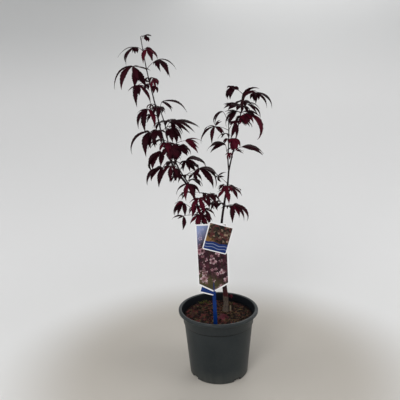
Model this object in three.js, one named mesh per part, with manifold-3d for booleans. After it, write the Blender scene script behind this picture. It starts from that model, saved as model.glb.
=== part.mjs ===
// A young grafted red maple with finely cut leaves, growing in a round plastic nursery pot.
// Millimetres, +Z up. The origin is the middle of the pot's flat underside, +X is to the
// right seen from the front, and the front faces -Y, where the plant's label stands.
import * as THREE from 'three';
import { mergeVertices } from 'three/addons/utils/BufferGeometryUtils.js';
import Module from 'manifold-3d';

const wasm = await Module();
wasm.setup();

const seat = 0.3; // clearance left between pieces that touch
const turn = Math.PI / 180;
const mergeReach = 1e-4;

// Pot: a three-litre round container with a collar and a rolled rim
const potHeight = 167;
const potBaseRadius = 72;
const potBaseEdge = 2;
const potBodyTopRadius = 84.3;
const potWall = 2;
const potFloor = 3;
const potSegments = 48;
const collarFoot = 133;
const collarStep = 1;
const collarFootRadius = 86;
const collarTopRadius = 88.6;
const rimRadius = 98;
const rimDepth = 8;
const rimCorner = 1.6;
const drainAngles = [-146, -54, 34, 124];
const drainWidth = 20;
const drainHeight = 7;
const drainDepth = 13;

// Potting mix, with a level patch where the trunk stands
const groundHeight = 150;
const mixTopRadius = 84.6;
const mixRings = [0.93, 0.78, 0.62, 0.46, 0.3, 0.14];
const mixSegments = 30;
const mixRoughness = 3.4;
const mixSeed = 7;
const levelPatchRadius = 30;

// Woody limbs: stations that the axis runs through, and the radius from foot to tip
const limbSizes = {
  trunk: {
    stations: [[19, 16, 150], [20, 16, 171], [19, 16, 195], [15.5, 16, 228], [11, 16, 279]],
    footRadius: 6.3,
    tipRadius: 5,
    sides: 10,
  },
  right_stem: {
    stations: [
      [11, 16, 279.4], [10, 18, 335], [12, 20, 380], [20, 22, 434], [27, 23, 472], [30, 24, 504],
    ],
    footRadius: 3.7,
    tipRadius: 2,
    sides: 8,
  },
  left_leader: {
    stations: [
      [10, 16, 274], [-10, 14, 329], [-29, 12, 373], [-60, 7, 460], [-101, 1, 524], [-123, -5, 594],
      [-136, -9, 664], [-151, -12, 738], [-158, -14, 785], [-161, -15, 808],
    ],
    footRadius: 3.5,
    tipRadius: 0.8,
    sides: 8,
  },
  left_second: {
    stations: [
      [-45, 10, 422], [-59, 20, 462], [-88, 30, 510], [-110, 32, 565], [-117, 28, 612],
      [-129, 19, 657],
    ],
    footRadius: 1.8,
    tipRadius: 1.1,
    sides: 6,
  },
  right_left: {
    stations: [[30, 24, 504.4], [28, 18, 531], [29, 12, 560], [30, 8, 592], [29, 4, 628]],
    footRadius: 1.7,
    tipRadius: 0.9,
    sides: 6,
  },
  right_right: {
    stations: [[30, 24, 503], [35, 30, 524], [46, 37, 568], [57, 42, 622], [62, 43, 645], [66, 44, 681]],
    footRadius: 1.9,
    tipRadius: 0.9,
    sides: 6,
  },
};
const limbStep = 22; // length of one faceted stretch of a limb
const limbStepsLeast = 6;
const flareHeight = 14; // root flare at the trunk's foot
const flareSpread = 2.6;
const graftHeight = 40; // swelling where the graft joins the rootstock
const graftSwell = 0.9;
const graftReach = 12;
const footCutDepth = 20; // more than the trunk's foot reaches below ground
const heightHalvings = 24; // halvings that find a height on a limb

// Stub of a cut sprout beside the trunk
const stubPlace = [31, 12];
const stubRadius = 2.4;
const stubHeight = 15;
const stubTaper = 0.85;
const stubSides = 8;

// Leaves: slender lobes that spread like fingers, arch out and hang. Angles in degrees, lengths
// and widths as shares of the blade and of each lobe
const lobeTurns = [-98, -50, 0, 50, 98];
const lobeShortening = 0.38; // loss of length of a lobe that points 100 degrees aside
const lobeTurnJitter = 5;
const lobeLengthJitter = 0.07;
const lobeCurlJitter = 14;
const lobeArchJitter = 8;
const lobeWidest = [0.45, 0.145];
const lobeNarrow = [0.76, 0.075];
const lobeWaist = [0.15, 0.06]; // on a leaf's outer edges
const lobeTipGap = 4; // least angle between two tips
const plainLobe = 0.7; // shorter lobes, as shares of the blade, taper straight to their tip
const leafGap = 0.1; // where the gaps between lobes end, from the leaf's base
const leafHeel = 0.05;
const leafThickness = 1.4;
const leafLean = 18; // slope of all leaves towards the front, where the light is
const leafPitch = 2;
const leafPitchJitter = 4;
const leafArch = 88;
const leafArchJitter = 5;
const petioleRadius = 0.85;
const petioleFoot = 0.98;
const petioleBow = 2;
const petioleSides = 3;
const petioleSteps = 2;
const petioleSink = 1.5;
const spurLength = 7;
const spurRadius = 1.5;
const spurRise = 3;
const leafSeed = 11;

// Sprays: each grows from one spur on a limb, at a height above the floor. toward is the
// compass direction of a leaf seen from above, counted from +X towards +Y. reach and rise
// lead from the limb to the leaf's base, and blade is the length of its longest lobe. face is
// where a leaf points when its stalk points elsewhere, pitch its slope below level, arch how
// far it bends over, turns and shares the directions and lengths of its lobes, and width how
// broad they are
const spraySizes = [
  { limb: 'trunk', height: 190, leaves: [{ toward: -15, reach: 12, rise: 3, blade: 12 }] },
  { limb: 'right_stem', height: 416, leaves: [
    {
      toward: 335, reach: 24, rise: 8, blade: 62, face: 330, arch: 104, turns: [-72, 2, 18, 70],
      shares: [0.8, 0.8, 1, 0.4], width: 0.85,
    },
    { toward: 50, reach: 21, rise: -3, blade: 38 },
  ] },
  { limb: 'right_stem', height: 424, leaves: [
    { toward: 160, reach: 16, rise: 4, blade: 36, width: 1.3 },
  ] },
  { limb: 'right_stem', height: 466, leaves: [
    {
      toward: 250, reach: 20, rise: -4, blade: 38, face: 262, turns: [-85, -30, 32],
      shares: [0.5, 0.8, 1], width: 1.2,
    },
    { toward: 320, reach: 15, rise: -2, blade: 34, face: 335, arch: 70 },
  ] },
  { limb: 'right_stem', height: 474, leaves: [
    {
      toward: 155, reach: 26, rise: 14, blade: 26, face: 15, pitch: -45, arch: 55,
      turns: [-100, -50, 0, 120], shares: [0.8, 0.8, 1, 0.8],
    },
  ] },
  { limb: 'right_left', height: 548, leaves: [
    {
      toward: 185, reach: 6, rise: 20, blade: 50, face: 182, pitch: -32, arch: 100,
      turns: [-12, 10, 30], shares: [0.8, 1, 0.9], width: 0.9,
    },
  ] },
  { limb: 'right_left', height: 576, leaves: [
    {
      toward: 300, reach: 17, rise: 8, blade: 38, face: 285, turns: [-60, -10, 40],
      shares: [0.5, 1, 0.8], width: 1.4,
    },
  ] },
  { limb: 'right_left', height: 588, leaves: [{ toward: 120, reach: 15, rise: 4, blade: 26 }] },
  { limb: 'right_left', height: 600, leaves: [
    { toward: 194, reach: 33, rise: 11, blade: 56, face: 200, turns: [-60, 0, 45, 112], width: 0.65 },
    {
      toward: 318, reach: 18, rise: 23, blade: 44, face: 280, pitch: 50, arch: 50, turns: [-6, 12],
      width: 0.75,
    },
  ] },
  { limb: 'right_left', height: 622, leaves: [
    { toward: 190, reach: 12, rise: 22, blade: 42, face: 180, arch: 105, turns: [-25, 0, 25], width: 0.6 },
  ] },
  { limb: 'right_right', height: 547, leaves: [
    {
      toward: 345, reach: 20, rise: 12, blade: 62, face: 0, pitch: -18, arch: 62,
      turns: [-22, 0, 14], shares: [1, 1, 0.7], width: 0.85,
    },
    { toward: 83, reach: 17, rise: 8, blade: 32 },
  ] },
  { limb: 'right_right', height: 616, leaves: [
    { toward: 70, reach: 21, rise: 4, blade: 42, width: 1.3 },
  ] },
  { limb: 'right_right', height: 636, leaves: [
    {
      toward: 195, reach: 10, rise: 6, blade: 52, face: 200, arch: 100, turns: [-45, -2, 35],
      shares: [0.5, 1, 0.8],
    },
    {
      toward: 310, reach: 12, rise: 0, blade: 90, face: 345, arch: 135, turns: [-60, -30, 0, 30],
      shares: [0.35, 0.42, 1, 0.5], width: 1.1,
    },
  ] },
  { limb: 'right_right', height: 652, leaves: [
    {
      toward: 190, reach: 7, rise: 5, blade: 40, pitch: -14, arch: 40, turns: [-50, -24, 0, 25],
      width: 1.3,
    },
    {
      toward: 340, reach: 14, rise: 5, blade: 46, face: 350, arch: 78, turns: [-45, -5, 50],
      shares: [0.75, 1, 0.5], width: 0.7,
    },
  ] },
  { limb: 'right_right', height: 660, leaves: [
    { toward: 80, reach: 18, rise: 5, blade: 44, width: 1.2 },
  ] },
  { limb: 'right_right', height: 668, leaves: [
    {
      toward: 272, reach: 14, rise: -16, blade: 68, face: 335, pitch: -110, arch: 118,
      turns: [-14, 12], width: 1.15,
    },
  ] },
  { limb: 'right_right', height: 679, leaves: [
    {
      toward: 197, reach: 23, rise: 17, blade: 36, arch: 112, turns: [-100, -50, -12, 14, 60],
      shares: [0.5, 0.5, 1, 0.95, 0.5], width: 1.3,
    },
    {
      toward: 4, reach: 29, rise: 4, blade: 60, face: 355, pitch: -6, arch: 96,
      turns: [-80, -38, 0, 45], shares: [0.6, 0.8, 1, 0.5], width: 0.75,
    },
  ] },
  { limb: 'left_leader', height: 398, leaves: [
    { toward: 199, reach: 43, rise: 37, blade: 42, face: 215, turns: [-30, 0, 20, 65] },
    {
      toward: 205, reach: 46, rise: 6, blade: 36, face: 182, pitch: -22, arch: 84,
      turns: [0, 45, 100], shares: [0.95, 0.5, 1],
    },
    { toward: 260, reach: 22, rise: 8, blade: 40, width: 1.2 },
  ] },
  { limb: 'left_leader', height: 412, leaves: [
    { toward: 100, reach: 24, rise: 4, blade: 40, width: 1.3 },
    { toward: 300, reach: 24, rise: 8, blade: 42, width: 1.3 },
  ] },
  { limb: 'left_leader', height: 431, leaves: [
    { toward: 286, reach: 25, rise: 17, blade: 46, width: 1.3 },
    { toward: 328, reach: 30, rise: 22, blade: 42, width: 1.3 },
  ] },
  { limb: 'left_leader', height: 446, leaves: [{ toward: 122, reach: 27, rise: 6, blade: 42 }] },
  { limb: 'left_leader', height: 455, leaves: [
    { toward: 20, reach: 27, rise: -4, blade: 40, width: 1.2 },
  ] },
  { limb: 'left_leader', height: 474, leaves: [
    { toward: 275, reach: 26, rise: 9, blade: 50, face: 265, turns: [-68, -20, 25, 72], width: 0.85 },
  ] },
  { limb: 'left_leader', height: 488, leaves: [{ toward: 170, reach: 20, rise: 8, blade: 22 }] },
  { limb: 'left_leader', height: 502, leaves: [
    { toward: 255, reach: 20, rise: 13, blade: 30, arch: 125, width: 1.5 },
  ] },
  { limb: 'left_leader', height: 523, leaves: [
    {
      toward: 203, reach: 26, rise: -3, blade: 68, face: 205, arch: 110, turns: [-60, -8, 57],
      shares: [0.5, 1, 0.74], width: 0.9,
    },
    { toward: 262, reach: 24, rise: 2, blade: 42, width: 1.3 },
  ] },
  { limb: 'left_leader', height: 552, leaves: [
    {
      toward: 215, reach: 15, rise: 3, blade: 64, face: 195, arch: 122, turns: [-55, -8, 10, 75],
      shares: [0.5, 1, 0.9, 0.6], width: 1.1,
    },
    { toward: 290, reach: 21, rise: 16, blade: 36, face: 258, pitch: 35, arch: 60, width: 1.5 },
  ] },
  { limb: 'left_leader', height: 574, leaves: [{ toward: 124, reach: 22, rise: 6, blade: 44 }] },
  { limb: 'left_leader', height: 600, leaves: [
    {
      toward: 190, reach: 27, rise: 2, blade: 72, face: 185, arch: 92, turns: [-60, 0, 68, 108],
      shares: [0.5, 1, 0.97, 0.65], width: 0.85,
    },
    { toward: 255, reach: 24, rise: 7, blade: 38, width: 1.3 },
  ] },
  { limb: 'left_leader', height: 636, leaves: [
    { toward: 150, reach: 20, rise: 4, blade: 38, width: 0.8 },
  ] },
  { limb: 'left_leader', height: 662, leaves: [
    {
      toward: 218, reach: 20, rise: -8, blade: 59, face: 250, arch: 100, turns: [-75, -35, 0, 60],
      shares: [0.45, 1, 1.02, 0.87], width: 0.8,
    },
    { toward: 288, reach: 19, rise: -4, blade: 28 },
  ] },
  { limb: 'left_leader', height: 712, leaves: [
    {
      toward: 217, reach: 30, rise: -6, blade: 58, face: 290, arch: 95, turns: [-72, -30, 24, 60],
      shares: [0.5, 0.95, 1, 0.5], width: 0.7,
    },
    { toward: 312, reach: 11, rise: 2, blade: 24, arch: 125 },
  ] },
  { limb: 'left_leader', height: 718, leaves: [{ toward: 62, reach: 13, rise: 3, blade: 26, arch: 115 }] },
  { limb: 'left_leader', height: 738, leaves: [
    {
      toward: 351, reach: 24, rise: 21, blade: 56, face: 340, pitch: -14, arch: 100,
      turns: [-78, -36, 10, 45], shares: [0.75, 1, 0.97, 0.5], width: 0.75,
    },
    {
      toward: 172, reach: 30, rise: 9, blade: 72, face: 180, arch: 86, turns: [-130, -2, 52, 100],
      shares: [0.3, 1, 1.02, 0.76], width: 0.8,
    },
  ] },
  { limb: 'left_leader', height: 778, leaves: [
    {
      toward: 200, reach: 17, rise: 8, blade: 50, face: 180, arch: 95, turns: [-50, 0, 45, 100],
      shares: [0.5, 1, 1, 0.4], width: 0.75,
    },
    {
      toward: 303, reach: 17, rise: 3, blade: 38, face: 300, arch: 90, turns: [-55, -10, 35, 80],
      shares: [1, 0.9, 0.85, 0.5],
    },
  ] },
  { limb: 'left_leader', height: 803, leaves: [
    { toward: 347, reach: 7, rise: 8, blade: 17, pitch: -12, arch: 30, turns: [-55, 0, 30], width: 1.3 },
  ] },
  { limb: 'left_second', height: 476, leaves: [
    { toward: 60, reach: 24, rise: 4, blade: 42 },
    { toward: 130, reach: 20, rise: 16, blade: 38, width: 1.2 },
  ] },
  { limb: 'left_second', height: 492, leaves: [
    {
      toward: 319, reach: 50, rise: 25, blade: 65, face: 341, arch: 90, turns: [-85, -28, 10],
      shares: [0.5, 0.95, 1.05], width: 1.1,
    },
  ] },
  { limb: 'left_second', height: 508, leaves: [
    {
      toward: 350, reach: 18, rise: 25, blade: 60, face: 5, pitch: -22, arch: 92,
      turns: [-60, -8, 24], shares: [0.55, 1, 0.6], width: 0.85,
    },
    { toward: 38, reach: 27, rise: 12, blade: 46, width: 1.3 },
  ] },
  { limb: 'left_second', height: 520, leaves: [
    { toward: 120, reach: 23, rise: 4, blade: 46, width: 1.2 },
  ] },
  { limb: 'left_second', height: 545, leaves: [
    { toward: 315, reach: 26, rise: 22, blade: 34, face: 270, pitch: 30, arch: 60, width: 1.5 },
  ] },
  { limb: 'left_second', height: 562, leaves: [
    {
      toward: 342, reach: 40, rise: 16, blade: 44, face: 2, pitch: -28, arch: 78,
      turns: [-56, 0, 40], shares: [1.15, 0.95, 0.4], width: 0.85,
    },
    { toward: 70, reach: 24, rise: 4, blade: 44, width: 1.3 },
  ] },
  { limb: 'left_second', height: 608, leaves: [
    {
      toward: 345, reach: 14, rise: 14, blade: 72, pitch: -12, arch: 50, turns: [-40, -18, 0, 14],
      width: 0.6,
    },
    { toward: 300, reach: 26, rise: 0, blade: 44, face: 318, turns: [-80, -45, -12, 15, 60], width: 1.3 },
  ] },
  { limb: 'left_second', height: 616, leaves: [{ toward: 90, reach: 20, rise: 6, blade: 44 }] },
  { limb: 'left_second', height: 653, leaves: [
    {
      toward: 15, reach: 5, rise: 15, blade: 67, face: 3, pitch: -14, arch: 88, turns: [-58, -2],
      shares: [0.55, 1], width: 0.65,
    },
    { toward: 120, reach: 18, rise: 4, blade: 28 },
  ] },
];

// Label set: a blue holder that clips a tall pointed card, with a small square tag in front of
// it and a slip behind. Places are measured from the holder's foot at ground level
const labelFoot = [-8.8, -60, groundHeight];
const labelLean = 1.6;
const labelThickness = 0.8;
const holderSunk = 60;
const holderTop = 140;
const holderFootWidth = 9.6;
const holderTopWidth = 7.6;
const holderThickness = 2;
const holderPointInset = 3;
const holderPointHeight = 12;
const slotAbove = 10;
const clipHeight = 68;
const clipBridge = 6;
const clipSunk = 1;
const tongueTop = 108;
const tongueWidth = 4.4;
const tongueThickness = 1.4;
const tongueTipShare = 0.25;
const cardWidth = 73;
const cardTip = 84;
const cardShoulder = 104;
const cardTop = 248;
const cardCorner = 3;
const tagSize = [57, 66];
const tagCentre = [14, 214];
const tagTurn = -17.5;
const tagCorner = 4;
const slipSize = [34, 80];
const slipCentre = [-6.5, 118];
const slipTurn = -17.5;
const slipCorner = 2;

const colours = {
  pot: 0x2f3a3b,
  mix: 0x35201a,
  rootstock: 0x6e6258,
  bark: 0x2e2426,
  leaf: 0x4a1420,
  holder: 0x1f4a9a,
  paper: 0xe9e6ea,
};

// Seeded random numbers from 0 to 1
function randomFrom(seed) {
  let state = seed >>> 0;
  return () => {
    state = (Math.imul(state, 1664525) + 1013904223) >>> 0;
    return state / 4294967296;
  };
}

// Closed triangle mesh to solid: shared vertices merged, faces pointing out
function asSolid(geometry) {
  const bare = geometry.clone();
  bare.deleteAttribute('normal');
  bare.deleteAttribute('uv');
  const merged = mergeVertices(bare, mergeReach);
  const points = merged.getAttribute('position').array;
  const faces = [];
  let volume = 0;
  for (let i = 0; i < merged.index.count; i += 3) {
    const [a, b, c] = [0, 1, 2].map((k) => merged.index.getX(i + k));
    if (a === b || b === c || c === a) continue;
    faces.push([a, b, c]);
    const [pa, pb, pc] = [a, b, c].map((k) => new THREE.Vector3().fromArray(points, 3 * k));
    volume += pa.dot(pb.cross(pc));
  }
  const triVerts = new Uint32Array(faces.flatMap((f) => (volume < 0 ? [f[0], f[2], f[1]] : f)));
  const vertProperties = new Float32Array(points);
  return new wasm.Manifold(new wasm.Mesh({ numProp: 3, vertProperties, triVerts }));
}

function asGeometry(solid) {
  const mesh = solid.getMesh();
  const geometry = new THREE.BufferGeometry();
  geometry.setAttribute('position', new THREE.BufferAttribute(new Float32Array(mesh.vertProperties), 3));
  geometry.setIndex(new THREE.BufferAttribute(new Uint32Array(mesh.triVerts), 1));
  geometry.computeVertexNormals();
  return geometry;
}

function joined(solids) {
  return solids.reduce((whole, solid) => whole.add(solid));
}

// The biggest connected piece, without the crumbs that a cut can leave
function biggest(solid) {
  const pieces = solid.decompose();
  return pieces.reduce((best, piece) => (piece.volume() > best.volume() ? piece : best));
}

function mesh(name, solid, colour, roughness) {
  const material = new THREE.MeshStandardMaterial({ color: colour, roughness, metalness: 0 });
  const part = new THREE.Mesh(asGeometry(solid), material);
  part.name = name;
  return part;
}

function turnedSolid(profile, segments) {
  const points = profile.map(([radius, height]) => new THREE.Vector2(radius, height));
  return new THREE.LatheGeometry(points, segments).rotateX(Math.PI / 2);
}

// Pot
function wallRadius(height) {
  const share = height / collarFoot;
  return potBaseRadius + (potBodyTopRadius - potBaseRadius) * share;
}

function makePot() {
  const rimFoot = potHeight - rimDepth;
  const inner = collarTopRadius - potWall;
  const profile = [
    [0, 0],
    [potBaseRadius - potBaseEdge, 0],
    [potBaseRadius, potBaseEdge],
    [potBodyTopRadius, collarFoot],
    [collarFootRadius, collarFoot + collarStep],
    [collarTopRadius, rimFoot],
    [rimRadius - rimCorner, rimFoot],
    [rimRadius, rimFoot + rimCorner],
    [rimRadius, potHeight - rimCorner],
    [rimRadius - rimCorner, potHeight],
    [collarTopRadius + 2 * rimCorner, potHeight],
    [collarTopRadius + rimCorner, potHeight - rimCorner],
    [inner, rimFoot],
    [wallRadius(collarFoot) - potWall, collarFoot],
    [wallRadius(potFloor) - potWall, potFloor],
    [0, potFloor],
  ];
  let pot = asSolid(turnedSolid(profile, potSegments));
  for (const angle of drainAngles) {
    const slot = new THREE.BoxGeometry(2 * drainDepth, drainWidth, 2 * drainHeight);
    slot.translate(potBaseRadius, 0, 0);
    slot.rotateZ(angle * turn);
    pot = pot.subtract(asSolid(slot));
  }
  return mesh('pot', pot, colours.pot, 0.5);
}

// Potting mix: fills the pot to a little under the rim, lumpy on top
function mixHeight(x, y, random) {
  const [footX, footY] = limbSizes.trunk.stations[0];
  const lump = (random() - 0.5) * mixRoughness;
  return Math.hypot(x - footX, y - footY) < levelPatchRadius ? groundHeight : groundHeight + lump;
}

function makeMix() {
  const random = randomFrom(mixSeed);
  const innerRadius = (height) => wallRadius(height) - potWall - seat;
  const floorHeight = potFloor + seat;
  const profile = [
    [0, floorHeight],
    [innerRadius(floorHeight), floorHeight],
    [innerRadius(collarFoot) - seat, collarFoot],
    [mixTopRadius, groundHeight],
    ...mixRings.map((share) => [mixTopRadius * share, groundHeight]),
    [0, groundHeight],
  ];
  const geometry = mergeVertices(stripped(turnedSolid(profile, mixSegments)), mergeReach);
  const position = geometry.getAttribute('position');
  for (let i = 0; i < position.count; i += 1) {
    const [x, y, z] = [position.getX(i), position.getY(i), position.getZ(i)];
    const inside = Math.hypot(x, y) < mixTopRadius - 1;
    if (inside && z > groundHeight - 1) position.setZ(i, mixHeight(x, y, random));
  }
  const slotDepth = holderSunk + seat;
  const slot = new THREE.BoxGeometry(
    holderFootWidth + 2 * seat,
    holderThickness + 2 * seat,
    slotDepth + slotAbove,
  );
  slot.translate(0, holderThickness / 2, (slotAbove - slotDepth) / 2);
  slot.rotateY(-labelLean * turn);
  slot.translate(...labelFoot);
  return mesh('potting_mix', asSolid(geometry).subtract(asSolid(slot)), colours.mix, 0.95);
}

function stripped(geometry) {
  geometry.deleteAttribute('normal');
  geometry.deleteAttribute('uv');
  return geometry;
}

// A tube round a curve whose radius changes along it, drawn from a cylinder's rings
function taperedTube(curve, radiusAt, sides, steps, endLift = 0) {
  const geometry = stripped(new THREE.CylinderGeometry(1, 1, 1, sides, steps));
  const frames = curve.computeFrenetFrames(steps, false);
  const position = geometry.getAttribute('position');
  const length = curve.getLength();
  for (let i = 0; i < position.count; i += 1) {
    const share = position.getY(i) + 0.5;
    const step = Math.round(share * steps);
    const radius = radiusAt(share, share * length);
    const centre = curve.getPointAt(share);
    if (step === steps) centre.addScaledVector(frames.tangents[step], endLift);
    centre.addScaledVector(frames.normals[step], position.getX(i) * radius);
    centre.addScaledVector(frames.binormals[step], position.getZ(i) * radius);
    position.setXYZ(i, centre.x, centre.y, centre.z);
  }
  return asSolid(geometry);
}

function limbCurve(name) {
  const points = limbSizes[name].stations.map((p) => new THREE.Vector3(...p));
  return new THREE.CatmullRomCurve3(points, false, 'centripetal');
}

function limbRadius(name, share, along) {
  const { footRadius, tipRadius } = limbSizes[name];
  const radius = footRadius + (tipRadius - footRadius) * share;
  if (name !== 'trunk') return radius;
  const flare = flareSpread * Math.max(0, 1 - along / flareHeight) ** 2;
  const swell = graftSwell * Math.max(0, 1 - Math.abs(along - graftHeight) / graftReach);
  return radius + flare + swell;
}

// One limb, or with growth the space that its neighbours keep clear of
function limbSolid(name, growth = 0) {
  const curve = limbCurve(name);
  const steps = Math.max(limbStepsLeast, Math.round(curve.getLength() / limbStep));
  const radiusAt = (share, along) => limbRadius(name, share, along) + growth;
  return taperedTube(curve, radiusAt, limbSizes[name].sides, steps, growth);
}

function limbPointAtHeight(name, height) {
  const curve = limbCurve(name);
  let [low, high] = [0, 1];
  for (let i = 0; i < heightHalvings; i += 1) {
    const middle = (low + high) / 2;
    if (curve.getPointAt(middle).z < height) low = middle;
    else high = middle;
  }
  return { point: curve.getPointAt(low), radius: limbRadius(name, low, low * curve.getLength()) };
}

function makeLimbs() {
  const limbs = {};
  const spaces = [];
  for (const name of Object.keys(limbSizes)) {
    let limb = limbSolid(name);
    if (name === 'trunk') {
      const [footX, footY] = limbSizes.trunk.stations[0];
      const under = new THREE.BoxGeometry(2 * levelPatchRadius, 2 * levelPatchRadius, footCutDepth);
      under.translate(footX, footY, groundHeight + seat - footCutDepth / 2);
      limb = limb.subtract(asSolid(under));
    }
    for (const space of spaces) limb = limb.subtract(space);
    limbs[name] = biggest(limb);
    spaces.push(limbSolid(name, seat));
  }
  return { limbs, spaces };
}

// The lobes of one leaf: where each points, how it curls aside, and its own length and arch.
// Neighbours that would cross curl alike
function leafLobes(size, arch, random) {
  const vary = (spread) => (random() - 0.5) * 2 * spread;
  const turns = size.turns ?? lobeTurns;
  const shares = size.shares ?? turns.map((angle) => 1 - lobeShortening * (angle / 100) ** 2);
  const angles = turns.map((angle) => (angle + vary(lobeTurnJitter)) * turn);
  const lengths = shares.map((share) => size.blade * share * (1 + vary(lobeLengthJitter)));
  const curls = turns.map(() => vary(lobeCurlJitter) * turn);
  const arches = turns.map(() => arch + vary(lobeArchJitter) * turn);
  const lobes = [];
  angles.forEach((angle, i) => {
    const before = lobes[i - 1];
    const crosses = before && angle + curls[i] < before.tip + lobeTipGap * turn;
    const curl = crosses ? before.curl : curls[i];
    lobes.push({ angle, curl, tip: angle + curl, length: lengths[i], arch: arches[i] });
  });
  return lobes;
}

// One edge of a lobe from its tip inwards, as angles and radii about the leaf's base. hand is
// -1 for the right edge and 1 for the left
function lobeEdge(size, lobe, hand, outermost = false) {
  const halves = lobe.length < plainLobe * size.blade ? [lobeWidest] : [lobeNarrow, lobeWidest];
  if (outermost) halves.push(lobeWaist);
  return [{ angle: lobe.tip, radius: lobe.length }].concat(halves.map(([share, half]) => {
    const across = half * (size.width ?? 1);
    return {
      angle: lobe.angle + lobe.curl * share + hand * Math.atan2(across, share),
      radius: lobe.length * Math.hypot(share, across),
    };
  }));
}

// Where an edge passes the line between two lobes, or the gap's end when it stays clear of it
function edgeRadius(edge, middle, gap) {
  const beyond = edge.findIndex((point) => (point.angle - middle) * (edge[0].angle - middle) < 0);
  if (beyond < 0) return gap;
  const [inner, outer] = [edge[beyond - 1], edge[beyond]];
  const share = (middle - inner.angle) / (outer.angle - inner.angle);
  return inner.radius + (outer.radius - inner.radius) * share;
}

// Flat outline of a leaf with its base at the origin. Lobes that overlap are cut where they meet
function leafOutline(size, lobes) {
  const gap = leafGap * size.blade;
  const points = [{ angle: Math.PI, radius: leafHeel * size.blade }];
  points.push(...lobeEdge(size, lobes[0], -1, true).reverse());
  lobes.slice(1).forEach((lobe, i) => {
    const left = lobeEdge(size, lobes[i], 1);
    const right = lobeEdge(size, lobe, -1);
    const middle = (lobes[i].tip + lobe.tip) / 2;
    const radius = Math.max(edgeRadius(left, middle, gap), edgeRadius(right, middle, gap));
    points.push(...left.slice(1).filter((point) => point.angle < middle));
    points.push({ angle: middle, radius });
    points.push(...right.filter((point) => point.angle > middle).reverse());
  });
  points.push(...lobeEdge(size, lobes[lobes.length - 1], 1, true).slice(1));
  return new THREE.Shape(points.map(({ angle, radius }) => (
    new THREE.Vector2(radius * Math.cos(angle), radius * Math.sin(angle))
  )));
}

// Arch in a direction across the leaf, between those of the lobes on either side
function archAt(lobes, angle) {
  const next = lobes.findIndex((lobe) => lobe.angle > angle);
  if (next < 1) return lobes[next < 0 ? lobes.length - 1 : 0].arch;
  const [low, high] = [lobes[next - 1], lobes[next]];
  return low.arch + ((high.arch - low.arch) * (angle - low.angle)) / (high.angle - low.angle);
}

// The outline given its thickness, then bent so that every lobe arches over and hangs
function leafBlade(leaf, size, lobes) {
  const settings = { depth: leafThickness, bevelEnabled: false };
  const geometry = stripped(new THREE.ExtrudeGeometry(leafOutline(size, lobes), settings));
  const position = geometry.getAttribute('position');
  for (let i = 0; i < position.count; i += 1) {
    const [x, y, z] = [position.getX(i), position.getY(i), position.getZ(i) - leafThickness / 2];
    const radius = Math.hypot(x, y);
    const arch = archAt(lobes, Math.atan2(y, x));
    const bend = (arch * radius) / size.blade;
    const reach = (size.blade * Math.sin(bend)) / arch + z * Math.sin(bend);
    const drop = (size.blade * (1 - Math.cos(bend))) / arch - z * Math.cos(bend);
    const point = leaf.base.clone().addScaledVector(leaf.normal, -drop);
    point.addScaledVector(leaf.forward, (reach * x) / radius);
    point.addScaledVector(leaf.side, (reach * y) / radius);
    position.setXYZ(i, point.x, point.y, point.z);
  }
  return asSolid(geometry);
}

function leafFrame(base, face, pitch) {
  const across = new THREE.Vector3(1, 0, 0);
  const outward = new THREE.Vector3(Math.cos(face), Math.sin(face), 0);
  const up = new THREE.Vector3(0, 0, 1);
  const forward = outward.clone().multiplyScalar(Math.cos(pitch)).addScaledVector(up, -Math.sin(pitch));
  const side = new THREE.Vector3(-Math.sin(face), Math.cos(face), 0);
  forward.applyAxisAngle(across, leafLean * turn);
  side.applyAxisAngle(across, leafLean * turn);
  return { base, forward, side, normal: forward.clone().cross(side) };
}

function stalk(from, to, startRadius, endRadius, bow) {
  const middle = from.clone().lerp(to, 0.5);
  middle.z += bow;
  const curve = new THREE.QuadraticBezierCurve3(from, middle, to);
  const radiusAt = (share) => startRadius + (endRadius - startRadius) * share;
  return taperedTube(curve, radiusAt, petioleSides, petioleSteps);
}

// One leaf on its stalk, grown from the spur's end
function leafOnStalk(spurEnd, root, size, random) {
  const direction = size.toward * turn;
  const base = new THREE.Vector3(
    root.x + size.reach * Math.cos(direction),
    root.y + size.reach * Math.sin(direction),
    root.z + size.rise,
  );
  const face = (size.face ?? size.toward) * turn;
  const pitch = (size.pitch ?? leafPitch) + (random() - 0.5) * 2 * leafPitchJitter;
  const leaf = leafFrame(base, face, pitch * turn);
  const arch = ((size.arch ?? leafArch) + (random() - 0.5) * 2 * leafArchJitter) * turn;
  const blade = leafBlade(leaf, size, leafLobes(size, arch, random));
  const sunk = base.clone().addScaledVector(leaf.forward, petioleSink);
  return blade.add(stalk(spurEnd, sunk, petioleFoot, petioleRadius, petioleBow));
}

// A spray: one short spur that ends 0.3 mm clear of its limb, with the leaves that it carries.
// A leaf that would touch a limb or another spray is left out
function makeSpray(size, limbSpaces, neighbours) {
  const { point, radius } = limbPointAtHeight(size.limb, size.height);
  const heading = new THREE.Vector3();
  for (const leaf of size.leaves) {
    heading.x += Math.cos(leaf.toward * turn) / size.leaves.length;
    heading.y += Math.sin(leaf.toward * turn) / size.leaves.length;
  }
  heading.normalize();
  const spurEnd = point.clone().addScaledVector(heading, radius + spurLength);
  spurEnd.z += spurRise;
  const spur = stalk(point, spurEnd, Math.min(spurRadius, radius), petioleRadius, 0);
  const kept = [];
  for (const leafSize of size.leaves) {
    const random = randomFrom(leafSeed + size.height * 360 + leafSize.toward);
    const leaf = leafOnStalk(spurEnd, point, leafSize, random);
    const others = [...limbSpaces, ...neighbours];
    if (others.every((other) => other.intersect(leaf).isEmpty())) kept.push(leaf);
  }
  let spray = joined([spur, ...kept]);
  for (const space of limbSpaces) spray = spray.subtract(space);
  return biggest(spray);
}

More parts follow.
